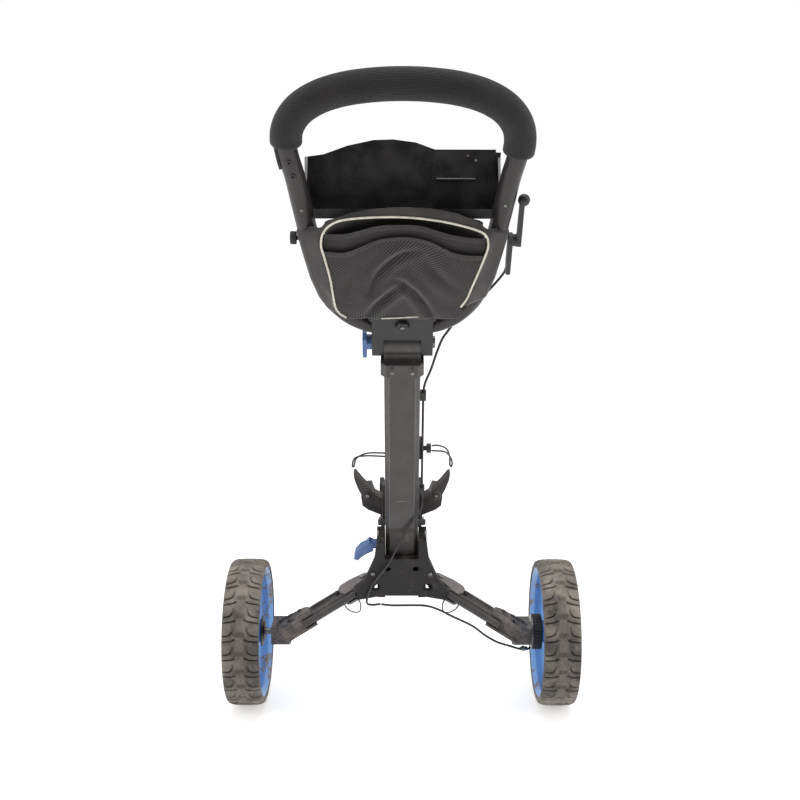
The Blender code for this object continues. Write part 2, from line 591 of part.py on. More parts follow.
mast = extruded("mast_tube", [octagon(TUBE_HALF, TUBE_HALF, TUBE_CHAMFER),
                              octagon(TUBE_HALF - TUBE_WALL, TUBE_HALF - TUBE_WALL, TUBE_CHAMFER - 0.001)],
                FOOT_TOP + GAP, COLLAR_HIGH - 0.006, TOP_VIEW, mast_axis)
paint(mast, "tube")

collar_half = TUBE_HALF + 0.0055
collar = extruded("hinge_casting", [octagon(collar_half, collar_half, 0.009),
                                    octagon(TUBE_HALF + GAP, TUBE_HALF + GAP, TUBE_CHAMFER)],
                  COLLAR_LOW, COLLAR_HIGH, TOP_VIEW, mast_axis)
join(collar, block("hinge_bridge", (-KNUCKLE_HALF_X, -0.020, COLLAR_HIGH - 0.005),
                   (KNUCKLE_HALF_X, 0.020, MAST_LENGTH), mast_axis))
join(collar, extruded("hinge_lid", [octagon(collar_half - 0.001, collar_half - 0.001, 0.009)],
                      COLLAR_HIGH - 0.005,
                      COLLAR_HIGH + 0.0005, TOP_VIEW, mast_axis))
join(collar, rod("hinge_barrel", BARREL_R, 2 * KNUCKLE_HALF_X, (-KNUCKLE_HALF_X, 0, MAST_LENGTH), ALONG_X,
                 mast_axis,
                 sides=32))
cut(collar, rod("hinge_bore", PIN_R + RUN, 0.1, (-0.05, 0, MAST_LENGTH), ALONG_X, mast_axis,
                collection=CUTTERS))
paint(collar, "tube")

# upper latch lever on the hinge's left end
BARREL_END = KNUCKLE_HALF_X + 0.0195
upper_latch = rod("upper_latch", 0.0125, 0.0085, (-BARREL_END - 0.0088, 0, MAST_LENGTH), ALONG_X, mast_axis)
lever_side = [(-0.015, 0.012), (-0.006, 0.019), (0.004, 0.019), (0.010, 0.008), (0.006, -0.015),
              (-0.006, -0.027),
              (-0.013, -0.022), (-0.011, -0.004)]
join(upper_latch, extruded("upper_latch_arm", [[(u, v + MAST_LENGTH) for u, v in lever_side]],
                           -BARREL_END - 0.0155,
                           -BARREL_END - 0.0087,
                           SIDE_VIEW, mast_axis))
paint(upper_latch, "blue")

# lower bag cradle on the front of the mast, with its two turning pads
ARM_FRONT = 0.066
ARM_BACK = 0.0465
PAD_X = 0.063
PAD_S = 0.134
arms = mirrored([(0, 0.062), (0.030, 0.068), (0.064, 0.086), (0.074, 0.096), (0.076, 0.118), (0.071, 0.140),
                 (0.056, 0.142), (0.050, 0.122), (0.036, 0.112), (0, 0.108)])
cradle = extruded("lower_cradle", [arms], ARM_BACK, ARM_FRONT, FRONT_VIEW, mast_axis)
join(cradle, block("cradle_foot", (-0.036, TUBE_HALF + GAP, 0.066), (0.036, ARM_BACK + 0.002, 0.158),
                   mast_axis))
for side in (-1, 1):
    cut(cradle, rod(f"pad_bore_{side}", 0.0035 + RUN, 0.05, (side * PAD_X, 0.03, PAD_S), ALONG_Y, mast_axis,
                    sides=16,
                    collection=CUTTERS))
paint(cradle, "cast")
PAD_FRONT = ARM_BACK - GAP
PAD_BACK = 0.031
for side_name, side in SIDES.items():
    pad_outline = [(0.0525, 0.128), (0.060, 0.121), (0.070, 0.124), (0.080, 0.148), (0.0865, 0.170),
                   (0.088, 0.184),
                   (0.084, 0.185), (0.072, 0.166), (0.054, 0.142)]
    pad = extruded("cradle_pad_" + side_name, [[(side * u, v) for u, v in pad_outline]], PAD_BACK, PAD_FRONT,
                   FRONT_VIEW, mast_axis)
    join(pad, rod("pad_pin_" + side_name, 0.0035, ARM_FRONT - PAD_FRONT + 0.001,
                  (side * PAD_X, PAD_FRONT - 0.001, PAD_S),
                  ALONG_Y, mast_axis, sides=16))
    join(pad, rod("pad_boss_" + side_name, 0.009, 0.003, (side * PAD_X, PAD_BACK - 0.0015, PAD_S), ALONG_Y,
                  mast_axis,
                  sides=20))
    paint(pad, "cast")

# strap anchor with its knob, and the elastic straps
ANCHOR_S = 0.265
ANCHOR_Y = 0.004
anchor = rod("strap_anchor", 0.0045, 0.014, (TUBE_HALF + GAP, ANCHOR_Y, ANCHOR_S), ALONG_X, mast_axis,
             sides=16)
join(anchor, block("anchor_plate", (TUBE_HALF + GAP, -0.005, ANCHOR_S - 0.018),
                   (TUBE_HALF + 0.004, 0.015, ANCHOR_S + 0.018), mast_axis))
join(anchor, rod("anchor_knob", 0.0085, 0.008, (TUBE_HALF + 0.013, ANCHOR_Y, ANCHOR_S), ALONG_X, mast_axis,
                 sides=16))
paint(anchor, "black")
knob_x = TUBE_HALF + 0.0225
elastic_right = smooth_path([(knob_x, 0.006, ANCHOR_S + 0.004), (0.066, 0.010, 0.266), (0.080, 0.024, 0.247),
                             (0.086, 0.034, 0.222), (0.087, 0.037, 0.203), (0.090, 0.038, 0.196),
                             (0.091, 0.037, 0.207),
                             (0.087, 0.031, 0.224), (0.076, 0.018, 0.246),
                             (knob_x, 0.002, ANCHOR_S - 0.004)], 0.011)
paint(tube("elastic_right", elastic_right, ELASTIC_R, mast_axis), "cord")
elastic_left = smooth_path([(-0.006, TUBE_HALF + 0.0025, 0.228), (-0.034, 0.036, 0.229),
                            (-0.064, 0.036, 0.228),
                            (-0.082, 0.037, 0.216), (-0.087, 0.038, 0.197), (-0.090, 0.038, 0.198),
                            (-0.085, 0.035, 0.218), (-0.066, 0.034, 0.224), (-0.034, 0.034, 0.223),
                            (-0.006, TUBE_HALF + 0.0025, 0.2215)], 0.011)
paint(tube("elastic_left", elastic_left, ELASTIC_R, mast_axis), "cord")

# cable clips on the mast
CABLE_X = TUBE_HALF + 0.0056
CLIPS = {"cable_clip_upper": 0.388, "cable_clip_lower": 0.182}
for clip_name, s in CLIPS.items():
    clip = block(clip_name, (TUBE_HALF + GAP, -0.016, s - 0.008), (TUBE_HALF + 0.0105, -0.004, s + 0.008),
                 mast_axis)
    cut(clip, rod(clip_name + "_bore", CABLE_R + GAP, 0.04, (CABLE_X, -0.010, s - 0.02), TOP_VIEW,
                  mast_axis, sides=16,
                  collection=CUTTERS))
    paint(clip, "black")

# ---------------------------------------------------------------- handle
rail_half = [(0.040, 0.0385), (0.060, 0.0440), (0.083, 0.058), (0.103, 0.080), (0.116, 0.104), (0.127, 0.140),
             (0.1345, 0.180), (0.142, 0.225), (0.149, 0.275), (0.155, 0.320)]
arch_half = [(0.161, 0.1187), (0.1640, 0.0937), (0.1600, 0.0667), (0.1440, 0.0407), (0.1150, 0.0202),
             (0.0780, 0.0077), (0.0380, 0.0017)]
rail_half += [(x, HANDLE_LENGTH - down) for x, down in arch_half]


def rail_x(height):
    """Distance of a rail's middle from the handle's middle line, at a height along the handle."""
    for (x0, s0), (x1, s1) in zip(rail_half, rail_half[1:]):
        if s0 <= height <= s1:
            return x0 + (x1 - x0) * (height - s0) / (s1 - s0)
    raise ValueError("no rail at this height")


handle_points = [(-x, 0, s) for x, s in rail_half] + [(0, 0, HANDLE_LENGTH)] + [(x, 0, s) for x,
                                                                                s in rail_half[::-1]]
handle_path = smooth_path(handle_points, 0.034)
paint(tube("handle_frame", handle_path, RAIL_R, handle_axis, sides_level=4, wall=RAIL_WALL), "tube")

GRIP_START = HANDLE_LENGTH - 0.1257
grip_path = [place for place in handle_path if place.z > GRIP_START]
paint(tube("grip", grip_path, GRIP_R, handle_axis, sides_level=4, wall=GRIP_R - RAIL_R - 0.0008), "foam")

# yoke: joins both rails to the hinge
YOKE_BACK = -0.030
yoke_outline = mirrored(arc((0, 0.110), 0.064, -90, -42, 7) + [(0.054, 0.074), (0.030, 0.0775), (0, 0.078)])
yoke = extruded("handle_yoke", [yoke_outline], YOKE_BACK, -0.0245, FRONT_VIEW, handle_axis)
join(yoke, block("yoke_body", (-0.0485, -0.0262, 0.0267), (0.0485, 0.0181, 0.0743), handle_axis))
cut(yoke, rod("yoke_clear", BARREL_R + 0.0008, 0.14, (-0.07, 0, 0), ALONG_X, handle_axis, sides=32,
              collection=CUTTERS))
for side in (-1, 1):
    inner = side * (KNUCKLE_HALF_X + GAP)
    outer = side * BARREL_END
    lug = arc((0, 0), BARREL_R - 0.0005, 180, 360, 13) + [(0.0175, 0.031), (-0.0235, 0.031)]
    pin_hole = arc((0, 0), PIN_R + RUN, 0, 345, 24)
    join(yoke, extruded(f"yoke_lug_{side}", [lug, pin_hole], inner, outer, SIDE_VIEW, handle_axis))
(root_x, root_s), (next_x, next_s) = rail_half[0], rail_half[1]
root_rise = math.atan2(next_s - root_s, next_x - root_x)
for side in (-1, 1):
    socket_turn = (0, side * (math.radians(90) - root_rise), 0)
    cut(yoke, rod(f"rail_socket_{side}", RAIL_R + 0.0008, 0.040, (side * (root_x - GAP), 0, root_s),
                  socket_turn,
                  handle_axis, collection=CUTTERS))
paint(yoke, "black")

hinge_pin = rod("hinge_pin", PIN_R, 2 * BARREL_END - 0.001, (-BARREL_END + 0.0005, 0, 0), ALONG_X,
                handle_axis)
join(hinge_pin, rod("hinge_pin_head", 0.010, 0.004, (BARREL_END + GAP, 0, 0), ALONG_X, handle_axis, sides=16))
join(hinge_pin, rod("hinge_pin_neck", PIN_R - 0.001, 0.004, (BARREL_END - 0.003, 0, 0), ALONG_X,
                    handle_axis, sides=16))
paint(hinge_pin, "steel")

KNOB_S = 0.062
knob_back = YOKE_BACK - GAP
star = [(0.0115 * (1 if i % 2 else 0.80) * math.cos(math.radians(30 * i)),
         KNOB_S + 0.0115 * (1 if i % 2 else 0.80) * math.sin(math.radians(30 * i))) for i in range(12)]
paint(extruded("yoke_knob", [star], knob_back - 0.008, knob_back, FRONT_VIEW, handle_axis), "black")

# upper bag cradle on the front of the yoke
saddle = mirrored([(0, 0.0190), (0.050, 0.0200), (0.080, 0.034), (0.097, 0.062), (0.094, 0.070),
                   (0.086, 0.066),
                   (0.070, 0.046), (0.044, 0.0325), (0, 0.030)])
upper_cradle = extruded("upper_cradle", [saddle], 0.062, 0.090, TOP_VIEW, handle_axis)
join(upper_cradle, block("cradle_pad_plate", (-0.040, 0.0185, 0.060), (0.040, 0.022, 0.073), handle_axis))
paint(upper_cradle, "cast")

# ---------------------------------------------------------------- console
TRAY_BACK = -0.010
TRAY_DEPTH = 0.098
tray_level = axis_empty("tray_level", (0, 0, 0.248), (-HANDLE_LEAN, 0, 0), handle_axis)
WALL_TOP = 0.103
back_arch = [(-0.151, 0.086), (-0.122, 0.090), (-0.085, 0.103), (-0.045, 0.1115), (-0.015, 0.1125),
             (0.020, 0.108),
             (0.045, 0.099), (0.055, 0.096), (0.151, 0.093)]
outer = [(0.139, 0), (0.146, 0.030), (0.151, 0.093)] + list(reversed(back_arch))[1:] + [(-0.146, 0.030),
                                                                                        (-0.139, 0)]
tray = extruded("console_tray", [outer], TRAY_BACK, TRAY_BACK + TRAY_DEPTH, FRONT_VIEW, tray_level)
well = [(0.1365, CONSOLE_WALL), (0.1435, 0.030), (0.1485, 0.14), (-0.1485, 0.14), (-0.1435, 0.030),
        (-0.1365, CONSOLE_WALL)]
cut(tray, extruded("tray_well", [well], TRAY_BACK + CONSOLE_WALL, TRAY_BACK + TRAY_DEPTH - CONSOLE_WALL,
                   FRONT_VIEW,
                   tray_level, collection=CUTTERS))
LIP = 0.014
open_back = [(TRAY_BACK - 0.01, LIP), (TRAY_BACK + 0.004, LIP),
             (TRAY_BACK + TRAY_DEPTH - CONSOLE_WALL - 0.002, 0.086),
             (TRAY_BACK + TRAY_DEPTH - CONSOLE_WALL - 0.002, 0.15), (TRAY_BACK - 0.01, 0.15)]
cut(tray, extruded("tray_slope", [open_back], -0.17, 0.17, SIDE_VIEW, tray_level, collection=CUTTERS))
cut(tray, tube("tray_rail_cut", handle_path, RAIL_R + 0.001, handle_axis, sides_level=4, collection=CUTTERS))
paint(tray, "black")

# card flap at the right of the front wall
FLAP_Y = TRAY_BACK + TRAY_DEPTH - CONSOLE_WALL - GAP
FLAP_LOW = 0.052
flap = block("card_flap", (0.046, FLAP_Y - 0.003, FLAP_LOW + 0.002), (0.1430, FLAP_Y, 0.0975), tray_level)
join(flap, rod("flap_knuckle", 0.003, 0.060, (0.052, FLAP_Y - 0.0032, FLAP_LOW), ALONG_X, tray_level,
               sides=12))
paint(flap, "black")

# ---------------------------------------------------------------- pocket under the console
def inset(outline, by):
    """A right half outline moved inwards, towards the middle of its middle line."""
    middle = Vector((0, (outline[0][1] + outline[-1][1]) / 2))
    moved = []
    for u, v in outline:
        inward = (middle - Vector((u, v))).normalized() * by
        moved.append((u + inward.x if u else 0, v + inward.y))
    return moved


SKIN_BACK = -0.034
SKIN_FRONT = -RAIL_R - 2 * GAP
BAG_FRONT = 0.020
half_skin = [(0, 0.0808), (0.060, 0.0790), (0.087, 0.0800), (0.099, 0.099), (0.111, 0.138), (0.121, 0.176),
             (0.1285, 0.212), (0.1275, 0.242), (0.114, 0.2620), (0.079, 0.2790), (0.040, 0.2875), (0, 0.2900)]
half_bag = [(0, 0.095), (0.070, 0.095), (0.086, 0.115), (0.097, 0.145), (0.106, 0.175), (0.110, 0.205),
            (0.098, 0.222), (0, 0.226)]
pocket = extruded("pocket", [mirrored(half_skin)], SKIN_BACK, SKIN_FRONT, FRONT_VIEW, handle_axis)
join(pocket, extruded("pocket_bag", [mirrored(half_bag)], SKIN_FRONT - 0.0012, BAG_FRONT, FRONT_VIEW,
                      handle_axis))
cut(pocket, extruded("pocket_hollow", [mirrored(inset(half_skin, 2 * POCKET_WALL))], SKIN_BACK + POCKET_WALL,
                     SKIN_FRONT - POCKET_WALL, FRONT_VIEW, handle_axis, collection=CUTTERS))
cut(pocket, extruded("pocket_hollow_bag", [mirrored(inset(half_bag, 2 * POCKET_WALL))],
                     SKIN_FRONT - POCKET_WALL - 0.002,
                     BAG_FRONT - POCKET_WALL, FRONT_VIEW, handle_axis, collection=CUTTERS))
mouth = mirrored([(0, 0.236), (0.080, 0.230), (0.106, 0.223), (0.107, 0.236), (0.079, 0.255), (0.040, 0.263),
                  (0, 0.265)])
cut(pocket, extruded("pocket_mouth", [mouth], SKIN_BACK - 0.01, SKIN_BACK + 0.006, FRONT_VIEW, handle_axis,
                     collection=CUTTERS))
paint(pocket, "mesh")

# ---------------------------------------------------------------- thumb knob and brake lever on the rails
THUMB_S = 0.2117
thumb_x = -rail_x(THUMB_S) - RAIL_R - 0.0016
thumb = rod("thumb_knob", 0.010, 0.010, (thumb_x - 0.0130, 0, THUMB_S), ALONG_X, handle_axis, sides=16)
join(thumb, rod("thumb_stem", 0.0035, 0.004, (thumb_x - 0.0040, 0, THUMB_S), ALONG_X, handle_axis, sides=16))
paint(thumb, "black")

LEVER_S = 0.2079
LEVER_X = 0.1712
bracket = extruded("brake_bracket", [[(-0.012, 0.150), (0.006, 0.150), (0.010, 0.165), (0.011, 0.212),
                                      (0.004, 0.220),
                                      (-0.007, 0.220), (-0.012, 0.208)]], 0.1585, 0.1655, SIDE_VIEW,
                                      handle_axis)
cut(bracket, tube("bracket_rail_cut", handle_path, RAIL_R + GAP, handle_axis, sides_level=4,
                  collection=CUTTERS))
paint(bracket, "black")
lever = rod("brake_lever", 0.0095, 0.0070, (0.1658, 0, LEVER_S), ALONG_X, handle_axis)
lever_arm = [(-0.0065, 0.200), (0.0065, 0.200), (0.0060, 0.225), (0.0040, 0.262), (0.0045, 0.278),
             (-0.0045, 0.278),
             (-0.0040, 0.262), (-0.0060, 0.225)]
join(lever, extruded("brake_lever_arm", [lever_arm], LEVER_X, LEVER_X + 0.0075, SIDE_VIEW, handle_axis))
join(lever, ball("brake_lever_ball", 0.0092, (LEVER_X + 0.006, 0, 0.2807), handle_axis))
paint(lever, "black")

# ---------------------------------------------------------------- brake cable, held all the way
CLIP_HALF = 0.008
top_s = CLIPS["cable_clip_upper"] + CLIP_HALF
low_s = CLIPS["cable_clip_lower"] - CLIP_HALF
cable_handle = smooth_path([(0.1600, 0.006, 0.1490), (0.1585, 0.010, 0.138), (0.1510, 0.016, 0.118),
                            (0.1380, 0.020, 0.094), (0.1210, 0.022, 0.070), (0.1010, 0.022, 0.048),
                            (0.0810, 0.020, 0.030)], 0.012)
paint(tube("cable_handle", cable_handle, CABLE_R, handle_axis), "black")
cable_hinge = smooth_path([(0.0800, 0.008, 0.5120), (0.0660, 0.002, 0.493), (0.0570, -0.004, 0.470),
                           (0.0480, -0.008, 0.440), (0.0390, -0.010, 0.415),
                           (CABLE_X, -0.010, top_s + GAP)], 0.011)
paint(tube("cable_hinge", cable_hinge, CABLE_R, mast_axis), "black")
run_count = 12
mast_run = [(CABLE_X, -0.010, top_s + (low_s - top_s) * i / run_count) for i in range(run_count + 1)]
paint(tube("cable_mast", mast_run, CABLE_R, mast_axis), "black")
cable_cross = smooth_path([(CABLE_X, -0.0100, low_s - GAP), (CABLE_X, -0.0110, low_s - 0.010),
                           (0.0340, -0.0280, 0.150), (0.0250, -0.0345, 0.136), (0.0160, -0.0350, 0.122),
                           (0.0020, -0.0390, 0.095), (-0.0100, -0.0460, 0.071), (-0.0190, -0.0505, 0.050),
                           (-0.0300, -0.0510, 0.028), (-0.0440, -0.0510, 0.005), (-0.0560, -0.0510, -0.018),
                           (-0.0640, -0.0505, -0.045), (-0.0650, -0.0470, -0.066),
                           (-0.0560, -0.0410, -0.0760),
                           (-0.0400, -0.0370, -0.0780)], 0.012)
paint(tube("cable_cross", cable_cross, CABLE_R, mast_axis), "black")
cable_leg = smooth_path([(-0.0385, -0.0390, 0.2142), (-0.0200, -0.0400, 0.2125), (0.0100, -0.0410, 0.2130),
                         (0.0450, -0.0470, 0.2150), (0.0700, -0.0600, 0.2130), (0.0900, -0.0640, 0.2040),
                         (0.1100, -0.0640, 0.1940), (0.1350, -0.0620, 0.1800), (0.1600, -0.0610, 0.1600),
                         (0.1820, -0.0590, 0.1460), (0.2050, -0.0560, 0.1370), (0.2250, -0.0480, 0.1270),
                         (0.2420, -0.0340, 0.1190), (0.2490, -0.0240, 0.1180)], 0.012)
paint(tube("cable_leg", cable_leg, CABLE_R, base), "black")
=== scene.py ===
"""Golf push trolley, standing open, with its wheels, hub, legs, mast, handle, console and pocket.

Metres, +Z up, +Y the way the trolley is pushed, +X its right-hand side.
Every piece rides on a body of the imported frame, and keeps its place in its own mesh.
"""
import json
import math

import bmesh
import bpy
import numpy as np
from mathutils import Matrix, Vector


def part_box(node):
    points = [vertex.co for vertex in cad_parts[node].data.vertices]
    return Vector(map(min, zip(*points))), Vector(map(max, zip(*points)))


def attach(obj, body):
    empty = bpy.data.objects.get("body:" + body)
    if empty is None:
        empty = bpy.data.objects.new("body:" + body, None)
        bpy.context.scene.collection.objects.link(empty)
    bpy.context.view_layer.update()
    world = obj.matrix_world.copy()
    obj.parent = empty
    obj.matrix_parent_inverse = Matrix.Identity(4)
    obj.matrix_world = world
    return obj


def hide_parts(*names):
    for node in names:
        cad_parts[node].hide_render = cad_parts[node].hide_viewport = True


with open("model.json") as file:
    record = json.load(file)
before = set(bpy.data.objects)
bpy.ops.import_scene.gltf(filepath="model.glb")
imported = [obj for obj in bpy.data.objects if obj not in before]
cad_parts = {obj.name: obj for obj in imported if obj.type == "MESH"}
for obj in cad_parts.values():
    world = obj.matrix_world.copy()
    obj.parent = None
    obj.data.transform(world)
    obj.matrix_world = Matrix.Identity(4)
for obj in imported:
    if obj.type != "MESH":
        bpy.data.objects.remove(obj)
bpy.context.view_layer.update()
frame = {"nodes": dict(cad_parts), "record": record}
body_of_node = {each: body for body, nodes in frame["record"]["behaviour"]["bodies"].items() for each in nodes}

# ------------------------------------------------------------------ camera and studio
# A camera 1.1 m up and two metres behind the rear axle, looking 14 degrees down; a white floor that runs out
# of sight and a white room, with one broad lamp overhead and one at each side for the long highlights.
camera_data = bpy.data.cameras.new("camera")
camera_data.lens = 50.3
camera_data.sensor_width = 36
camera = bpy.data.objects.new("camera", camera_data)
bpy.context.scene.collection.objects.link(camera)
CAMERA_AT = (-0.0036, -2.1521, 1.106)
camera.matrix_world = (Matrix.Translation(CAMERA_AT) @ Matrix.Rotation(math.radians(76), 4, "X")
                       @ Matrix.Rotation(math.radians(0.1), 4, "Z"))
bpy.context.scene.camera = camera
bpy.context.scene.view_settings.view_transform = "Standard"


def linear(hex_colour):
    """An sRGB hex colour as linear red, green, blue and alpha."""
    srgb = np.array([int(hex_colour[i:i + 2], 16) / 255 for i in (1, 3, 5)])
    return (*np.where(srgb <= 0.04045, srgb / 12.92, ((srgb + 0.055) / 1.055) ** 2.4).tolist(), 1.0)


def node(material, kind, *values, **settings):
    """Add a node to a material: values fill its sockets in order, or by name or number when they come as one
    dictionary, and each is a number or a link; settings are the node's own. Gives its outputs."""
    made = material.node_tree.nodes.new("ShaderNode" + kind)
    for setting, value in settings.items():
        setattr(made, setting, value)
    by_socket = values[0] if values and isinstance(values[0], dict) else dict(enumerate(values))
    for socket, value in by_socket.items():
        if isinstance(value, bpy.types.NodeSocket):
            material.node_tree.links.new(value, made.inputs[socket])
        else:
            made.inputs[socket].default_value = value
    return made.outputs


def principled(name, **sockets):
    """A new material: sockets of its Principled shader by name, with underscores for spaces. Gives it and a
    function that links a socket later."""
    material = bpy.data.materials.new(name)
    material.use_nodes = True
    shader = material.node_tree.nodes["Principled BSDF"]
    for socket, value in sockets.items():
        shader.inputs[socket.replace("_", " ")].default_value = value

    def feed(socket, value):
        material.node_tree.links.new(value, shader.inputs[socket])

    return material, feed


# matt white floor paint: a faint roller texture 3 mm across, just enough to catch the wheels' shadows
paper, feed = principled("floor_paint", Roughness=0.9, Base_Color=linear("#f4f4f3"), Emission_Strength=0.42,
                         Emission_Color=(1, 1, 1, 1))
floor_at = node(paper, "TexCoord")["Object"]
roller = node(paper, "TexNoise", {"Vector": floor_at, "Scale": 1 / 0.003, "Detail": 2.0})["Fac"]
feed("Normal", node(paper, "Bump", {"Height": roller, "Strength": 0.05, "Distance": 0.0002})["Normal"])
floor_mesh = bpy.data.meshes.new("floor")
floor_mesh.from_pydata([(-9, -7, 0), (9, -7, 0), (9, 11, 0), (-9, 11, 0)], [], [(0, 1, 2, 3)])
floor_mesh.materials.append(paper)
floor = bpy.data.objects.new("floor", floor_mesh)
bpy.context.scene.collection.objects.link(floor)

# the room: white to the eye, but as light it is bright ahead and overhead, and dim behind the camera
room = bpy.data.worlds.new("white_room")
room.use_nodes = True
backdrop = room.node_tree.nodes["Background"]
toward = node(room, "SeparateXYZ", {"Vector": node(room, "TexCoord")["Generated"]})
from_ahead = node(room, "MapRange", toward["Y"], -0.75, 0.35, 0.10, 0.85)[0]
from_above = node(room, "MapRange", toward["Z"], -0.1, 0.9, 0.0, 0.75)[0]
room_light = node(room, "Math", from_ahead, from_above, operation="MAXIMUM")["Value"]
seen = node(room, "LightPath")["Is Camera Ray"]
room.node_tree.links.new(node(room, "Math", room_light, seen, operation="MAXIMUM")["Value"],
                         backdrop.inputs["Strength"])
backdrop.inputs["Color"].default_value = (1, 1, 1, 1)
bpy.context.scene.world = room
for lamp_name, place, size, power in (("lamp_over", (0.2, -0.4, 3.4), 2.4, 40.0),
                                      ("lamp_left", (-2.6, -1.6, 1.9), 1.6, 34.0),
                                      ("lamp_right", (2.6, -1.2, 1.7), 1.6, 24.0)):
    lamp_data = bpy.data.lights.new(lamp_name, "AREA")
    lamp_data.size = size
    lamp_data.energy = power
    lamp = bpy.data.objects.new(lamp_name, lamp_data)
    bpy.context.scene.collection.objects.link(lamp)
    aim = np.array((0, -0.15, 0.55)) - np.array(place)
    lamp.matrix_world = Matrix.Translation(place) @ Vector(aim).to_track_quat("-Z", "Y").to_matrix().to_4x4()

# ------------------------------------------------------------------ tyres
# Airless tyres of black rubber, moulded in one piece and pressed over the rim. The tread has a plain middle
# rib and pairs of hooked grooves on each side of it, 25 pitches round the wheel, dulled by dried mud.
TYRE_PITCHES = 25
GROOVE_WIDTH = 0.0012       # half of a groove, across its run
GROOVE_DEPTH = 0.0034
tyre_low, tyre_high = (np.array(corner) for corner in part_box("tyre_left"))
WHEEL_R = (tyre_high[2] - tyre_low[2]) / 2
TYRE_HALF = (tyre_high[0] - tyre_low[0]) / 2
BEAD_R = WHEEL_R - 0.0145
SEAT_R = WHEEL_R - 0.022
wheels = {side: (np.array(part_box("tyre_" + side)[0]) + np.array(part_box("tyre_" + side)[1])) / 2
          for side in ("left", "right", "front")}
outward = {"left": np.array((-1.0, 0, 0)), "right": np.array((1.0, 0, 0)), "front": np.array((1.0, 0, 0))}


def unit(vectors):
    """Vectors made one long."""
    vectors = np.asarray(vectors, float)
    return vectors / np.linalg.norm(vectors, axis=-1, keepdims=True)


def skin(name, grid, body, material, around=True, ring=False, lids=True, sharp=32, stands_for=()):
    """A piece of quads over a grid of points, rows by columns. Columns meet round the piece when around is
    set, and rows when ring is set; otherwise flat lids close the first and last row. The sign of the enclosed
    volume turns the faces outwards. The map holds the way round, 0 to 1, and the way along, 0 to 1."""
    rows, columns = grid.shape[:2]
    index = np.arange(rows * columns).reshape(rows, columns)
    here, there = (index, np.roll(index, -1, 0)) if ring else (index[:-1], index[1:])
    if around:
        corners = (here, np.roll(here, -1, 1), np.roll(there, -1, 1), there)
    else:
        corners = (here[:, :-1], here[:, 1:], there[:, 1:], there[:, :-1])
    quads = np.stack(corners, -1).reshape(-1, 4)
    points = grid.reshape(-1, 3)
    middle = points.mean(0)
    a, b, c, d = (points[quads[:, i]] - middle for i in range(4))
    volume = (a * (np.cross(b, c) + np.cross(c, d))).sum()
    faces = quads.tolist()
    if around and not ring and lids:
        faces += [index[0][::-1].tolist(), index[-1].tolist()]
    if volume < 0:
        faces = [face[::-1] for face in faces]
    mesh = bpy.data.meshes.new(name)
    mesh.from_pydata(points.tolist(), [], faces)
    corner_of = np.empty(len(mesh.loops), np.int32)
    mesh.loops.foreach_get("vertex_index", corner_of)
    row, column = corner_of // columns, corner_of % columns
    size = np.array([len(face) for face in faces])
    first = np.repeat(np.cumsum(size) - size, size)
    column = np.where(around & (column == 0) & (column[first] + column[np.minimum(first + 2, len(column) - 1)]
                                                > columns), columns, column)
    row = np.where(ring & (row == 0) & (row[first] + row[np.minimum(first + 2, len(row) - 1)] >= rows - 1)
                   & (rows > 2), rows, row)
    uv = np.stack((column / columns, row / rows), -1).astype(np.float32)
    mesh.uv_layers.new(name="run").data.foreach_set("uv", uv.ravel())
    return settled(name, mesh, body, material, sharp, stands_for)


def settled(name, mesh, body, material, sharp=32, stands_for=()):
    """Shade a mesh smooth up to an angle, give it its materials and put it on its body."""
    mesh.polygons.foreach_set("use_smooth", np.ones(len(mesh.polygons), bool))
    mesh.set_sharp_from_angle(angle=math.radians(sharp))
    for each in material if isinstance(material, (tuple, list)) else (material,):
        mesh.materials.append(each)
    piece = bpy.data.objects.new(name, mesh)
    bpy.context.scene.collection.objects.link(piece)
    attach(piece, body)
    if stands_for:
        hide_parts(*stands_for)
    return piece


def lathed(radius, height, centre, axis, first=(0, 0, 1)):
    """Circles round an axis: row by row a radius and a height, each of which may change on the way round."""
    axis, first = unit(axis), unit(first)
    radius, height = np.broadcast_arrays(radius, height)
    turn = np.linspace(0, 2 * np.pi, radius.shape[1], endpoint=False)
    spoke = np.cos(turn)[:, None] * first + np.sin(turn)[:, None] * np.cross(axis, first)
    return np.asarray(centre) + radius[..., None] * spoke + height[..., None] * axis


# black natural rubber: matt and faintly porous, with grey-brown mud dried on the middle rib; the grooves are
# mixed towards near black, painted shade
rubber, feed = principled("muddy_black_rubber", Roughness=0.86, Specular_IOR_Level=0.35)
rubber_at = node(rubber, "TexCoord")
mud_patch = node(rubber, "TexNoise", {"Vector": rubber_at["Object"], "Scale": 1 / 0.045, "Detail": 6.0,
                                      "Roughness": 0.65})["Fac"]
mud_grain = node(rubber, "TexNoise", {"Vector": rubber_at["Object"], "Scale": 1 / 0.0022,
                                      "Detail": 3.0})["Fac"]
rib = node(rubber, "Attribute", attribute_name="rib")["Fac"]
groove_shade = node(rubber, "Attribute", attribute_name="groove_shade")["Fac"]
block_tone = node(rubber, "Mix", {0: node(rubber, "MapRange", mud_grain, 0.3, 0.7)[0], 6: linear("#3a3735"),
                                  7: linear("#57524e")}, data_type="RGBA")[2]
off_axle = node(rubber, "Math", node(rubber, "SeparateXYZ", {"Vector": rubber_at["Object"]})["Z"], -WHEEL_R,
                operation="ADD")["Value"]
far_off = node(rubber, "MapRange", node(rubber, "Math", off_axle, operation="ABSOLUTE")["Value"], 0.055,
               0.130, 0.0, 0.14)[0]
settled_mud = node(rubber, "Math", mud_patch, far_off, operation="ADD")["Value"]
muddied = node(rubber, "MapRange", settled_mud, 0.44, 0.76, 0.0, 0.85)[0]
rib_mud = node(rubber, "Math", rib, node(rubber, "MapRange", mud_grain, 0.25, 0.65, 0.15, 0.55)[0],
               operation="MULTIPLY")
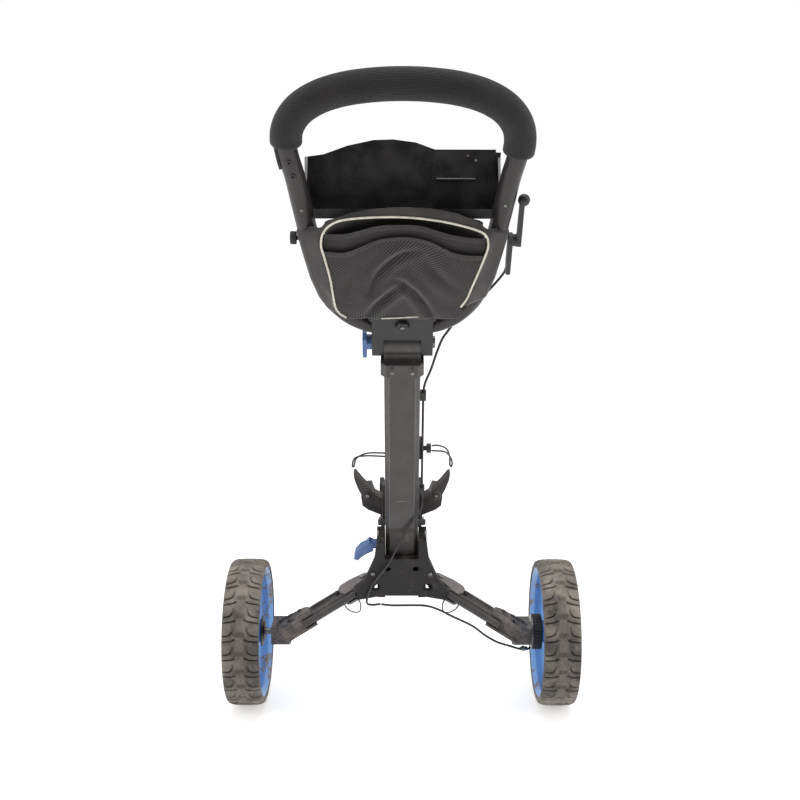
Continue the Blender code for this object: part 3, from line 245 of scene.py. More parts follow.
mud_amount = node(rubber, "Math", muddied, rib_mud["Value"], operation="MAXIMUM")["Value"]
mudded = node(rubber, "Mix", {0: mud_amount, 6: block_tone, 7: linear("#958d84")}, data_type="RGBA")[2]
# painted shade: the deeper a point lies in a groove, the nearer its colour comes to near black
feed("Base Color", node(rubber, "Mix", {0: node(rubber, "MapRange", groove_shade, 0.0, 1.0, 0.0, 0.85)[0],
                                        6: mudded, 7: linear("#221f1e")}, data_type="RGBA")[2])
feed("Roughness", node(rubber, "MapRange", mud_amount, 0.0, 1.0, 0.78, 0.96)[0])
feed("Normal", node(rubber, "Bump", {"Height": mud_grain, "Strength": 0.35, "Distance": 0.0005})["Normal"])

across = np.linspace(0, np.pi, 58)[:, None]
around_tyre = np.linspace(0, 2 * np.pi, TYRE_PITCHES * 32, endpoint=False)[None, :]
share = np.sign(np.cos(across)) * np.abs(np.cos(across)) ** 0.48
crown = np.sin(across) ** 0.42
reach = np.abs(share)
pitch_length = 2 * np.pi * WHEEL_R / TYRE_PITCHES
depth = np.zeros(np.broadcast_shapes(share.shape, around_tyre.shape))
for start, lag in ((0.15, 0.0), (0.36, 0.27)):
    beyond = np.maximum(reach - start, 0)
    hook = 0.42 * np.exp(-beyond / 0.085) - 0.10 * beyond
    slope = (-0.42 / 0.085 * np.exp(-beyond / 0.085) - 0.10) * pitch_length / TYRE_HALF
    phase = (around_tyre * TYRE_PITCHES / (2 * np.pi) + hook + lag + 0.5) % 1 - 0.5
    aside = np.abs(phase) * pitch_length / np.sqrt(1 + slope ** 2)
    line = 1 / (1 + (aside / GROOVE_WIDTH) ** 6)
    depth = np.maximum(depth, line * np.clip((reach - start) / 0.05, 0, 1))
depth *= np.clip(crown / 0.9, 0, 1) ** 2
outer_r = BEAD_R + (WHEEL_R - BEAD_R) * crown - GROOVE_DEPTH * depth - 0.0009 * reach ** 2 * crown
outer_w = TYRE_HALF * share + 0 * around_tyre
under = np.array([(BEAD_R + 0.0003, -TYRE_HALF), (SEAT_R + 0.0006, -TYRE_HALF + 0.0083),
                  (SEAT_R + 0.0006, -TYRE_HALF + 0.0135), (WHEEL_R - 0.012, -TYRE_HALF + 0.0135),
                  (WHEEL_R - 0.012, TYRE_HALF - 0.0135), (SEAT_R + 0.0006, TYRE_HALF - 0.0135),
                  (SEAT_R + 0.0006, TYRE_HALF - 0.0083), (BEAD_R + 0.0003, TYRE_HALF)])
tyre_radius = np.concatenate((outer_r, under[:, :1] + 0 * around_tyre))
tyre_height = np.concatenate((outer_w, under[:, 1:] + 0 * around_tyre))
for side, centre in wheels.items():
    grid = lathed(tyre_radius, tyre_height, centre, (1, 0, 0))
    tyre = skin(f"tyre_{side}_tread", grid, side + "_wheel", rubber, ring=True, stands_for=("tyre_" + side,))
    rib_share = np.zeros(tyre_radius.shape)
    rib_share[:len(across)] = np.clip((0.24 - reach) / 0.10, 0, 1)
    # how deep each point lies in a groove, carried to the material for the painted shade in the grooves
    groove_shade_share = np.zeros(tyre_radius.shape)
    groove_shade_share[:len(across)] = depth
    for attribute, values in (("rib", rib_share), ("groove_shade", groove_shade_share)):
        tyre.data.attributes.new(attribute, "FLOAT", "POINT").data.foreach_set("value", values.ravel())

# ------------------------------------------------------------------ rims, bearings, caps and brake drum
# Rims of blue glass-filled nylon, injection moulded: a deep well with a rolled flange and a disc with six
# pressed fields round the hub. A steel bearing sits in each hub, and black caps and a ribbed brake drum close
# the hubs. Rubbed nylon is satin; mud has dried in brown patches low in the wells.
nylon, feed = principled("muddy_blue_nylon", Specular_IOR_Level=0.45, Coat_Weight=0.12, Coat_Roughness=0.3)
nylon_at = node(nylon, "TexCoord")["Object"]
splash = node(nylon, "TexNoise", {"Vector": nylon_at, "Scale": 1 / 0.055, "Detail": 8.0, "Roughness": 0.7,
                                  "Distortion": 0.6})["Fac"]
specks = node(nylon, "TexNoise", {"Vector": nylon_at, "Scale": 1 / 0.004, "Detail": 3.0})["Fac"]
stirred = node(nylon, "Math", splash, node(nylon, "MapRange", specks, 0.3, 0.7, -0.05, 0.05)[0],
               operation="ADD")["Value"]
muddy = node(nylon, "MapRange", stirred, 0.55, 0.61)[0]
film = node(nylon, "Mix", {0: node(nylon, "MapRange", splash, 0.3, 0.6, 0.0, 0.30)[0], 6: linear("#6aa0e0"),
                           7: linear("#8799b4")}, data_type="RGBA")[2]
mud_tone = node(nylon, "Mix", {0: specks, 6: linear("#6d5f55"), 7: linear("#98887a")}, data_type="RGBA")[2]
feed("Base Color", node(nylon, "Mix", {0: muddy, 6: film, 7: mud_tone}, data_type="RGBA")[2])
feed("Roughness", node(nylon, "MapRange", muddy, 0.0, 1.0, 0.42, 0.93)[0])
feed("Normal", node(nylon, "Bump", {"Height": stirred, "Strength": 0.25, "Distance": 0.0004})["Normal"])

HUB_R = 0.022
RIM_STEPS = 144
DISC_STEPS = 26
lip = TYRE_HALF - 0.008
well = np.array([(BEAD_R, lip + 0.0055), (BEAD_R, lip + 0.002), (SEAT_R, lip), (SEAT_R, -lip),
                 (BEAD_R, -lip - 0.002),
                 (BEAD_R, -lip - 0.0055), (BEAD_R - 0.0022, -lip - 0.0063), (BEAD_R - 0.004, -lip - 0.0055),
                 (SEAT_R - 0.004, -lip + 0.002), (SEAT_R - 0.004, -0.014)])
disc_r = np.linspace(SEAT_R - 0.006, HUB_R, DISC_STEPS)
disc_h = np.interp(disc_r, (HUB_R, 0.045, 0.080, SEAT_R - 0.004), (-0.012, -0.004, -0.002, -0.013))
hub_ring = np.array([(HUB_R, -0.024), (0.0143, -0.024), (0.0143, 0.024), (HUB_R, 0.024)])
face_r = disc_r[::-1]
face_h = np.interp(face_r, (HUB_R, 0.045, 0.080, SEAT_R - 0.004), (-0.007, 0.001, 0.003, -0.009))
flange = np.array([(SEAT_R - 0.004, -0.009), (SEAT_R - 0.004, lip - 0.002), (BEAD_R - 0.004, lip + 0.0055),
                   (BEAD_R - 0.0022, lip + 0.0063)])
rim_profile = np.concatenate((well, np.stack((disc_r, disc_h), -1), hub_ring,
                              np.stack((face_r, face_h), -1), flange))
turn = np.linspace(0, 2 * np.pi, RIM_STEPS, endpoint=False)
field = np.clip(1.6 * np.cos(3 * turn) ** 2 - 0.35, 0, 1) ** 0.7
in_disc = np.zeros(len(rim_profile))
ramp = np.clip((disc_r - 0.040) / 0.008, 0, 1) * np.clip((0.104 - disc_r) / 0.008, 0, 1)
inner_face = len(well) + DISC_STEPS + len(hub_ring)
in_disc[len(well):len(well) + DISC_STEPS] = ramp
in_disc[inner_face:inner_face + DISC_STEPS] = ramp[::-1]
rim_height = rim_profile[:, 1:] - 0.0065 * in_disc[:, None] * field
for side, centre in wheels.items():
    skin(f"rim_{side}_moulded", lathed(rim_profile[:, :1] + 0 * turn, rim_height, centre, outward[side]),
         side + "_wheel", nylon, ring=True, sharp=38, stands_for=("rim_" + side,))


def rounded_profile(corners, size=0.0008):
    """A profile of (radius, height) corners with each corner cut by two short steps, as a moulding's edges
    are."""
    corners = np.asarray(corners, float)
    back = corners - np.roll(corners, 1, 0)
    ahead = np.roll(corners, -1, 0) - corners
    back_size = np.minimum(size, np.linalg.norm(back, axis=1) / 2.2)[:, None]
    ahead_size = np.minimum(size, np.linalg.norm(ahead, axis=1) / 2.2)[:, None]
    before, after = corners - unit(back) * back_size, corners + unit(ahead) * ahead_size
    return np.stack((before, (before + after + 2 * corners) / 4, after), 1).reshape(-1, 2)


def finished(node_name, materials, round_off=0.0007, sharp=30, segments=2):
    """A copy of a CAD piece with its loose facets merged and joined into whole faces, and its edges rounded
    off; the rounded edges take the second material where there is one. It stands for that piece, on the same
    body."""
    bm = bmesh.new()
    bm.from_mesh(frame["nodes"][node_name].data)
    bmesh.ops.remove_doubles(bm, verts=bm.verts, dist=2e-6)
    bmesh.ops.dissolve_limit(bm, angle_limit=math.radians(0.8), verts=bm.verts, edges=bm.edges)
    mesh = bpy.data.meshes.new(node_name + "_finished")
    bm.to_mesh(mesh)
    bm.free()
    materials = materials if isinstance(materials, tuple) else (materials,)
    piece = settled(node_name + "_finished", mesh, body_of_node[node_name], materials, sharp, (node_name,))
    if round_off:
        edges = piece.modifiers.new("rounded edges", "BEVEL")
        edges.width = round_off
        edges.segments = segments
        edges.limit_method = "ANGLE"
        edges.angle_limit = math.radians(sharp)
        edges.use_clamp_overlap = True
        edges.harden_normals = True
        # the second material is a lighter copy of the first: painted highlight along the rounded edges, with
        # some rubbing wear
        edges.material = len(materials) - 1
    return piece


def weathered(name, colour, deep, dust, dusted, roughness, grain, relief, patch=0.03, **sockets):
    """A moulded or coated surface used out of doors. The colour wanders between colour and deep over patches,
    dust covers a dusted share of it in noise of the patch size, more on faces that look up, and dulls it; a
    fine grain gives the relief. Sizes are in metres."""
    material, feed = principled(name, **sockets)
    at = node(material, "TexCoord")
    patches = node(material, "TexNoise", {"Vector": at["Object"], "Scale": 1 / patch, "Detail": 7.0,
                                          "Roughness": 0.66})["Fac"]
    grains = node(material, "TexNoise", {"Vector": at["Object"], "Scale": 1 / grain, "Detail": 2.0})["Fac"]
    up = node(material, "SeparateXYZ", {"Vector": at["Normal"]})["Z"]
    lie = node(material, "Math", patches, node(material, "MapRange", up, -0.4, 1.0, -0.05, 0.09)[0],
               operation="ADD")
    speckle = node(material, "MapRange", grains, 0.2, 0.8, -0.07, 0.07)[0]
    gritty = node(material, "Math", lie["Value"], speckle, operation="ADD")["Value"]
    amount = node(material, "MapRange", gritty, 0.60 - 0.22 * dusted, 0.86 - 0.22 * dusted, 0.0,
                  0.35 + 0.5 * dusted)[0]
    clean = node(material, "Mix", {0: node(material, "MapRange", patches, 0.35, 0.65)[0], 6: linear(deep),
                                   7: linear(colour)}, data_type="RGBA")[2]
    feed("Base Color", node(material, "Mix", {0: amount, 6: clean, 7: linear(dust)}, data_type="RGBA")[2])
    feed("Roughness", node(material, "MapRange", amount, 0.0, 0.8, roughness, min(0.97, roughness + 0.35))[0])
    feed("Normal", node(material, "Bump", {"Height": grains, "Strength": 0.5, "Distance": relief})["Normal"])
    return material


# zinc-plated steel, drawn and turned: grey, half bright, with fine stains where water has dried
steel, feed = principled("zinc_plated_steel", Metallic=1.0)
steel_at = node(steel, "TexCoord")["Object"]
stain = node(steel, "TexNoise", {"Vector": steel_at, "Scale": 1 / 0.006, "Detail": 5.0})["Fac"]
feed("Base Color", node(steel, "Mix", {0: node(steel, "MapRange", stain, 0.35, 0.7)[0],
                                       6: linear("#9a9794"), 7: linear("#6c6762")}, data_type="RGBA")[2])
feed("Roughness", node(steel, "MapRange", stain, 0.3, 0.7, 0.30, 0.52)[0])
# black nylon, moulded: near black and satin; its rounded edges take a lighter copy, a painted highlight with a
# little rubbing wear
black_nylon = weathered("black_nylon", "#232121", "#191818", "#6b645e", 0.20, 0.50, 0.0009, 0.00006)
black_nylon_highlit_edge = weathered("rubbed_and_highlit_black_nylon", "#383635", "#2b2929", "#7a736c", 0.20, 0.44, 0.0009,
                             0.00004)

for side, centre in wheels.items():
    finished("bearing_" + side, steel, 0.0004)
for side in ("left", "right", "front"):
    finished("axle_" + side, steel, 0.0005)
for side in ("left", "right"):
    cap = rounded_profile([(0.0004, 0.0345), (0.010, 0.0340), (0.0165, 0.0318), (0.0195, 0.0290),
                           (0.021, 0.0243), (0.0152, 0.0243), (0.0152, 0.0280), (0.0004, 0.0280)], 0.0006)
    skin(f"hub_cap_{side}_moulded", lathed(cap[:, :1] + np.zeros(48), cap[:, 1:], wheels[side],
                                           outward[side]),
         side + "_wheel", black_nylon, ring=True, stands_for=("hub_cap_" + side,))

# brake drum: 36 cooling ribs stand on its rim; the plate behind it stays with the leg
DRUM_R, DRUM_BACK = 0.034, -0.0425
drum = rounded_profile([(DRUM_R, DRUM_BACK + 0.017), (DRUM_R, DRUM_BACK), (DRUM_R - 0.004, DRUM_BACK),
                        (DRUM_R - 0.004, DRUM_BACK + 0.013), (0.009, DRUM_BACK + 0.013),
                        (0.009, DRUM_BACK + 0.017)])
drum_turn = np.linspace(0, 2 * np.pi, 288, endpoint=False)
ribbing = 0.0007 * np.tanh(4 * np.cos(36 * drum_turn)) - 0.0007
on_rim = np.where(drum[:, 0] > DRUM_R - 0.0008, 1.0, 0.0)[:, None]
skin("brake_drum_ribbed", lathed(drum[:, :1] + on_rim * ribbing, drum[:, 1:], wheels["right"],
                                 outward["right"]),
     "right_wheel", black_nylon, ring=True, stands_for=("brake_drum",))
finished("brake_plate", steel, 0.0004)
# black shield over the left hub's bearing, on the side that looks at the leg
shield = rounded_profile([(0.029, -0.0272), (0.029, -0.0245), (0.0095, -0.0245), (0.0095, -0.0315),
                          (0.0175, -0.0315), (0.020, -0.0290)], 0.0006)
shield_turn = np.linspace(0, 2 * np.pi, 120, endpoint=False)
skin("hub_shield_left", lathed(shield[:, :1] + 0 * shield_turn, shield[:, 1:], wheels["left"],
                               outward["left"]),
     "left_wheel", black_nylon, ring=True)

# ------------------------------------------------------------------ the frames of the mast, handle and legs
# Each moving group has its own axes: x to the right, y square to the tube, forwards, and z along it.
REAR_Y = float(wheels["left"][1])
MAST_LEAN = math.radians(21.1)
HANDLE_LEAN = math.radians(31.4)
MAST_LENGTH = 0.4877
TUBE_HALF = 0.030


def seat(origin, x_axis, y_axis, z_axis):
    """A function that takes points from a group's own axes to the trolley's."""
    axes, origin = np.array((x_axis, y_axis, z_axis), float), np.array(origin, float)
    return lambda points: np.asarray(points, float) @ axes + origin


def leaning(origin, lean):
    """Axes that lean backwards by an angle."""
    return seat(origin, (1, 0, 0), (0, math.cos(lean), math.sin(lean)), (0, -math.sin(lean), math.cos(lean)))


on_base = seat((0, REAR_Y, 0), (1, 0, 0), (0, 1, 0), (0, 0, 1))
on_mast = leaning((0, REAR_Y - 0.031, 0.300), MAST_LEAN)
hinge_centre = on_mast((0, 0, MAST_LENGTH))
on_handle = leaning(hinge_centre, HANDLE_LEAN)
on_tray = leaning(on_handle((0, 0, 0.248)), 0)
on_leg = {}
for side, sign in (("left", -1), ("right", 1)):
    drop, sweep = math.radians(27.8), math.radians(14.4)
    along = np.array((sign * math.cos(drop) * math.cos(sweep), -math.cos(drop) * math.sin(sweep),
                      -math.sin(drop)))
    square = np.cross(along, (math.sin(sweep) * sign, math.cos(sweep), 0)) * sign
    on_leg[side] = seat((sign * 0.0675, REAR_Y - 0.023, 0.252), along, np.cross(square, along), square)


def screw_head(name, seat_at, centre, axis, first, radius, height, body, material, sides=6):
    """A pan-head screw: a domed disc with a recess of the given sides, turned round the axis. seat_at takes
    its place and directions from a group's axes."""
    origin = seat_at((0, 0, 0))
    axis, first = seat_at(axis) - origin, seat_at(first) - origin
    turn = np.linspace(0, 2 * np.pi, 24, endpoint=False)
    star = 0.42 * radius / np.cos((turn + np.pi / sides) % (2 * np.pi / sides) - np.pi / sides)
    rows = [(radius, -0.0004), (radius, 0.35 * height), (0.93 * radius, 0.72 * height),
            (0.72 * radius, height)]
    radii = np.array([row[0] + 0 * turn for row in rows] + [star, star * 0.94])
    heights = np.array([row[1] for row in rows] + [height * 1.02, height * 0.25])[:, None]
    return skin(name, lathed(radii, heights, seat_at(centre), axis, first), body, material, sharp=40)


# ------------------------------------------------------------------ front wheel's fork, front arm
# The fork is moulded in black glass-filled nylon; the arm is an aluminium box tube, powder-coated dark grey
# with a fine orange-peel skin. Their rounded corners take lighter copies: painted highlight, with some rubbing
# wear.
cast_nylon = weathered("dusty_black_nylon", "#2f2c2a", "#242120", "#7d7268", 0.38, 0.56, 0.0011, 0.00010,
                       0.028)
hub_nylon = weathered("matt_black_nylon", "#1c1a19", "#151413", "#6d635b", 0.30, 0.66, 0.0011, 0.00010, 0.022,
                      Specular_IOR_Level=0.35)
# lighter copy for the rounded edges: painted highlight, with some rubbing wear
cast_nylon_highlit_edge = weathered("rubbed_and_highlit_dusty_nylon", "#4e4946", "#3c3835", "#8c8177", 0.38, 0.50, 0.0011,
                            0.00006)
coated = weathered("dark_grey_powder_coat", "#3b3938", "#302f2e", "#7b736c", 0.15, 0.42, 0.0013, 0.00005,
                   0.05, Metallic=0.25)
# lighter copy for the rounded edges: painted highlight, with some rubbing wear
coated_highlit_edge = weathered("rubbed_and_highlit_powder_coat", "#6b6866", "#575452", "#8f8880", 0.15, 0.36, 0.0013, 0.00003,
                        0.05, Metallic=0.45)
finished("fork", (hub_nylon, cast_nylon_highlit_edge), 0.0018)
finished("front_arm", (coated, coated_highlit_edge), 0.0005)

# ------------------------------------------------------------------ hub
# The hub casting carries the fold pin, the legs' hinges and the front arm. It is moulded in black
# glass-filled nylon, dulled with dust; its rounded edges are painted paler, a painted highlight with some
# rubbing wear. Two thin steel rods run up beside its ears.
finished("hub_casting", (hub_nylon, cast_nylon_highlit_edge), 0.0012)
finished("fold_pin", steel, 0.0006)
for name, x in (("hub_screw_left", -0.0530), ("hub_screw_right", 0.0530)):
    screw_head(name, on_mast, (x, -0.0453, 0.0085), (0, -1, 0), (0, 0, 1), 0.0040, 0.0022, "hub", steel)
for name, x in (("hub_rod_left", -0.0432), ("hub_rod_right", 0.0432)):
    rod_turn = np.linspace(0, 2 * np.pi, 14, endpoint=False)
    rod_s = np.array([0.083, 0.0835, 0.1005, 0.1015])[:, None]
    rod_r = np.array([0.0013, 0.0015, 0.0015, 0.0011])[:, None]
    rod = np.stack((x + rod_r * np.cos(rod_turn), -0.030 + rod_r * np.sin(rod_turn), rod_s + 0 * rod_turn),
                   -1)
    skin(name, on_mast(rod), "hub", steel)

# ------------------------------------------------------------------ legs
# Each leg hangs on the hub by two cast zinc plates and a steel pin. Its tube is powder-coated aluminium with
# a slim rail along the top; the wheel's bracket is moulded nylon, clamped with two black bolts, with a
# slotted cover plate.
zinc_cast = weathered("satin_zinc_casting", "#7d7778", "#686263", "#8f8379", 0.30, 0.46, 0.0010, 0.00006,
                      0.02, Metallic=0.45)
# lighter copy for the rounded edges: painted highlight, with some rubbing wear
zinc_highlit_edge = weathered("rubbed_and_highlit_zinc_casting", "#a29c9a", "#8b8583", "#a59a90", 0.30, 0.38, 0.0010, 0.00004,
                      0.02, Metallic=0.55)
# brackets take the mud that the wheels throw: brown-grey dust lies over the nylon
bracket_nylon = weathered("mud_dusted_nylon", "#4f4946", "#3a3533", "#8f857c", 0.55, 0.62, 0.0011, 0.00010,
                          0.020)
# lighter copy for the rounded edges: painted highlight, with some rubbing wear
bracket_highlit_edge = weathered("rubbed_and_highlit_mud_dusted_nylon", "#6a635f", "#55504c", "#9a9188", 0.50, 0.55, 0.0011,
                         0.00006)
for side, sign in (("left", -1), ("right", 1)):
    finished("leg_root_" + side, (zinc_cast, zinc_highlit_edge), 0.0007)
    finished("leg_pin_" + side, steel, 0.0005)
    finished("leg_tube_" + side, (coated, coated_highlit_edge), 0.0006)
    finished("wheel_bracket_" + side, (bracket_nylon, bracket_highlit_edge), 0.0013)
    for number, (u, v) in enumerate(((0.136, 0.0125), (0.1605, -0.0030))):
        screw_head(f"bracket_bolt_{side}_{number}", on_leg[side], (u, sign * v, 0.0149), (0, 0, 1),
                   (1, 0, 0), 0.0042, 0.0026, side + "_leg", black_nylon)
    screw_head("rail_boss_" + side, on_leg[side], (0.0575, sign * 0.0005, 0.0105), (0, 0, 1), (1, 0, 0),
               0.0042, 0.0045, side + "_leg", black_nylon)
    # slotted cover: five low ribs on a black sheet beside the axle block; the black is painted shade standing
    # for the recess
    rib_u = np.linspace(0.152, 0.181, 41)[:, None]
    rib_v = np.array([-0.0052, -0.0050, 0.0050, 0.0052])[None, :]
    rise = 0.0006 * (1 + np.tanh(5 * np.cos(2 * np.pi * (rib_u - 0.152) / 0.0058))) * (np.abs(rib_v) < 0.0051)
    cover = np.stack((rib_u + 0 * rib_v, sign * (0.0160 + rib_v + 0 * rib_u), 0.0151 + rise + 0 * rib_v), -1)
    skin("bracket_slot_" + side, on_leg[side](cover), side + "_leg", black_nylon, around=False)


def smooth_line(points, step):
    """A Catmull-Rom curve through the points, laid out again at even steps along its length."""
    knots = np.asarray(points, float)
    knots = np.concatenate((2 * knots[:1] - knots[1:2], knots, 2 * knots[-1:] - knots[-2:-1]))
    a, b, c, d = (knots[i:len(knots) - 3 + i, None] for i in range(4))
    t = np.linspace(0, 1, 24, endpoint=False)[None, :, None]
    line = 0.5 * (2 * b + (c - a) * t + (2 * a - 5 * b + 4 * c - d) * t ** 2
                  + (3 * b - a - 3 * c + d) * t ** 3)
    line = np.concatenate((line.reshape(-1, knots.shape[1]), knots[-2:-1]))
    walked = np.concatenate(([0], np.cumsum(np.linalg.norm(np.diff(line, axis=0), axis=1))))
    stops = np.linspace(0, walked[-1], max(2, round(walked[-1] / step) + 1))
    return np.stack([np.interp(stops, walked, axis) for axis in line.T], -1)


def carried(path, profile, reference):
    """A profile carried along a path. Its first axis is square to the path and to the reference direction,
    its second is square to both. A profile may change along the path: rows, points, two."""
    along = unit(np.gradient(path, axis=0))
    first = unit(np.cross(along, reference))
    second = np.cross(first, along)
    profile = np.broadcast_to(profile, (len(path),) + np.shape(profile)[-2:])
    return path[:, None] + profile[..., :1] * first[:, None] + profile[..., 1:] * second[:, None]


def circle(radius, points=16):
    """A round profile."""
    turn = np.linspace(0, 2 * np.pi, points, endpoint=False)
    return radius * np.stack((np.cos(turn), np.sin(turn)), -1)


# wire bails: spring steel, 2.8 mm, that hold the leg open
for side, sign in (("left", -1), ("right", 1)):
    bail = smooth_line([(0.029, sign * -0.010, -0.0175), (0.030, sign * -0.018, -0.024),
                        (0.038, sign * -0.022, -0.034),
                        (0.048, sign * -0.021, -0.030), (0.055, sign * -0.016, -0.021),
                        (0.057, sign * -0.009, -0.0135)], 0.0015)
    skin("leg_spring_" + side + "_wire", on_leg[side](carried(bail, circle(0.0014, 12), (0.3, 1, 0.2))),
         side + "_leg", steel, stands_for=("leg_spring_" + side,))

# ------------------------------------------------------------------ mast
# The mast is a square aluminium tube with chamfered corners, powder-coated dark grey. Its foot is moulded
# nylon, pushed in and screwed; the collar at its top is cast, with four small screws.
finished("mast_foot", (cast_nylon, cast_nylon_highlit_edge), 0.0009)
mast_coat = weathered("scuffed_powder_coat", "#444241", "#3a3837", "#8b847e", 0.10, 0.38, 0.0012, 0.00005,
                      0.035, Metallic=0.30)
finished("mast_tube", (mast_coat, coated_highlit_edge), 0.0006)
finished("hinge_casting", (mast_coat, coated_highlit_edge), 0.0012)
for row, (height_on_mast, radius, height, metal) in enumerate(((0.4485, 0.0030, 0.0012, steel),
                                                               (0.4585, 0.0026, 0.0010, black_nylon))):
    for column, x in enumerate((-0.0165, 0.0165)):
        screw_head(f"collar_screw_{2 * row + column}", on_mast, (x, -0.0354, height_on_mast), (0, -1, 0),
                   (1, 0, 0), radius, height, "mast", metal)
# a scratch through the coat, 25 mm long, where a bag's foot has rubbed
scratch_x = np.linspace(-0.0145, 0.0105, 12)[:, None]
scratch_w = np.array([-0.00045, 0.0, 0.00045])[None, :] * np.sin(np.linspace(0.15, np.pi - 0.15, 12))[:, None]
scratch = np.stack((scratch_x + 0 * scratch_w, -0.03006 + 0 * scratch_w,
                    0.1712 + scratch_w + 0.03 * scratch_x), -1)
skin("mast_scratch", on_mast(scratch), "mast", steel, around=False)

# ------------------------------------------------------------------ latches
# Moulded thumb latches of pale blue nylon: one on the hub's left cheek, one at the handle hinge's left end.
latch_nylon = weathered("pale_blue_nylon", "#4f6d9f", "#42608f", "#7a7878", 0.25, 0.42, 0.0009, 0.00005,
                        0.012)
# lighter copy for the rounded edges: painted highlight, with some rubbing wear
latch_highlit_edge = weathered("rubbed_and_highlit_blue_nylon", "#7391c1", "#6080b2", "#8c8a8a", 0.20, 0.36, 0.0009, 0.00004,
                       0.012)
finished("lower_latch", (latch_nylon, latch_highlit_edge), 0.0014)
finished("upper_latch", (latch_nylon, latch_highlit_edge), 0.0010)

# ------------------------------------------------------------------ lower bag cradle
# Moulded nylon arms bolted to the front of the mast, with a turning pad on each tip; steel pins, dusty.
finished("lower_cradle", (cast_nylon, cast_nylon_highlit_edge), 0.0012)
for side, sign in (("left", -1), ("right", 1)):
    finished("cradle_pad_" + side, (cast_nylon, cast_nylon_highlit_edge), 0.0012)
    for ring, (radius, height) in enumerate(((0.0072, 0.0012), (0.0036, 0.0022))):
        screw_head(f"pad_pivot_{side}_{ring}", on_mast, (sign * 0.063, 0.0292, 0.134), (0, -1, 0),
                   (1, 0, 0), radius,
                   height, side + "_pad", (black_nylon, steel)[ring])

# ------------------------------------------------------------------ strap anchor and elastic straps
# Elastic cord, 3.2 mm, braided over rubber: both ends are held at the mast, and the loop reaches past the
# pad's tip.
braid, feed = principled("braided_grey_elastic", Roughness=0.85, Sheen_Weight=0.3, Sheen_Roughness=0.5)
braid_at = node(braid, "SeparateXYZ", {"Vector": node(braid, "UVMap", uv_map="run")["UV"]})
twist = [node(braid, "Math", node(braid, "Math", braid_at["Y"], 210.0, operation="MULTIPLY")["Value"],
              node(braid, "Math", braid_at["X"], way * 2 * math.pi * 3, operation="MULTIPLY")["Value"],
              operation="ADD")["Value"] for way in (1, -1)]
strands = node(braid, "Math", node(braid, "Math", twist[0], operation="SINE")["Value"],
               node(braid, "Math", twist[1], operation="SINE")["Value"], operation="MULTIPLY")["Value"]
feed("Base Color", node(braid, "Mix", {0: node(braid, "MapRange", strands, -0.6, 0.6)[0],
                                       6: linear("#201f1f"), 7: linear("#4a4745")}, data_type="RGBA")[2])
feed("Normal", node(braid, "Bump", {"Height": strands, "Strength": 0.7, "Distance": 0.0002})["Normal"])
finished("strap_anchor", (black_nylon, black_nylon_highlit_edge), 0.0008)
knob_x = TUBE_HALF + 0.0225
elastics = {
    "elastic_right": [(knob_x, 0.006, 0.269), (0.066, 0.010, 0.266), (0.080, 0.024, 0.247),
                      (0.086, 0.034, 0.222),
                      (0.087, 0.037, 0.203), (0.090, 0.038, 0.196), (0.091, 0.037, 0.207),
                      (0.087, 0.031, 0.224), (0.076, 0.018, 0.246), (knob_x, 0.002, 0.261)],
    "elastic_left": [(-0.006, 0.0325, 0.228), (-0.034, 0.036, 0.229), (-0.064, 0.036, 0.228),
                     (-0.082, 0.037, 0.216),
                     (-0.087, 0.038, 0.197), (-0.090, 0.038, 0.198), (-0.085, 0.035, 0.218),
                     (-0.066, 0.034, 0.224), (-0.034, 0.034, 0.223), (-0.006, 0.0325, 0.2215)]}
for name, knots in elastics.items():
    skin(name + "_cord", on_mast(carried(smooth_line(knots, 0.0016), circle(0.0016, 12), (0, 1, 0.2))),
         "mast", braid, stands_for=(name,))
for clip in ("cable_clip_upper", "cable_clip_lower"):
    finished(clip, (black_nylon, black_nylon_highlit_edge), 0.0007)

# ------------------------------------------------------------------ handle frame and yoke
# One bent aluminium tube, 30 mm, powder-coated near black; the yoke that joins its feet to the hinge is
# moulded nylon, held by a steel pin. Two recessed screws and two rivets show on its rails.
dark_coat = weathered("black_powder_coat", "#2c2a29", "#232120", "#655f5a", 0.10, 0.38, 0.0012, 0.00005, 0.05,
                      Metallic=0.20)
rail_half = np.array([(0.040, 0.0385), (0.060, 0.0440), (0.083, 0.058), (0.103, 0.080), (0.116, 0.104),
                      (0.127, 0.140),
                      (0.1345, 0.180), (0.142, 0.225), (0.149, 0.275), (0.155, 0.320), (0.161, 0.350),
                      (0.1640, 0.375),
                      (0.1600, 0.402), (0.1440, 0.428), (0.1150, 0.4485), (0.0780, 0.4610), (0.0380, 0.4670)])
HANDLE_LENGTH = 0.4687
right_rail = np.stack((rail_half[:, 0], 0 * rail_half[:, 0], rail_half[:, 1]), -1)
handle_knots = np.concatenate((right_rail * (-1, 1, 1), [(0, 0, HANDLE_LENGTH)], right_rail[::-1]))
handle_line = smooth_line(handle_knots, 0.005)


def rail_x(height):
    """How far a rail's middle is from the handle's middle line, at a height along the handle."""
    return np.interp(height, rail_half[:, 1], rail_half[:, 0])


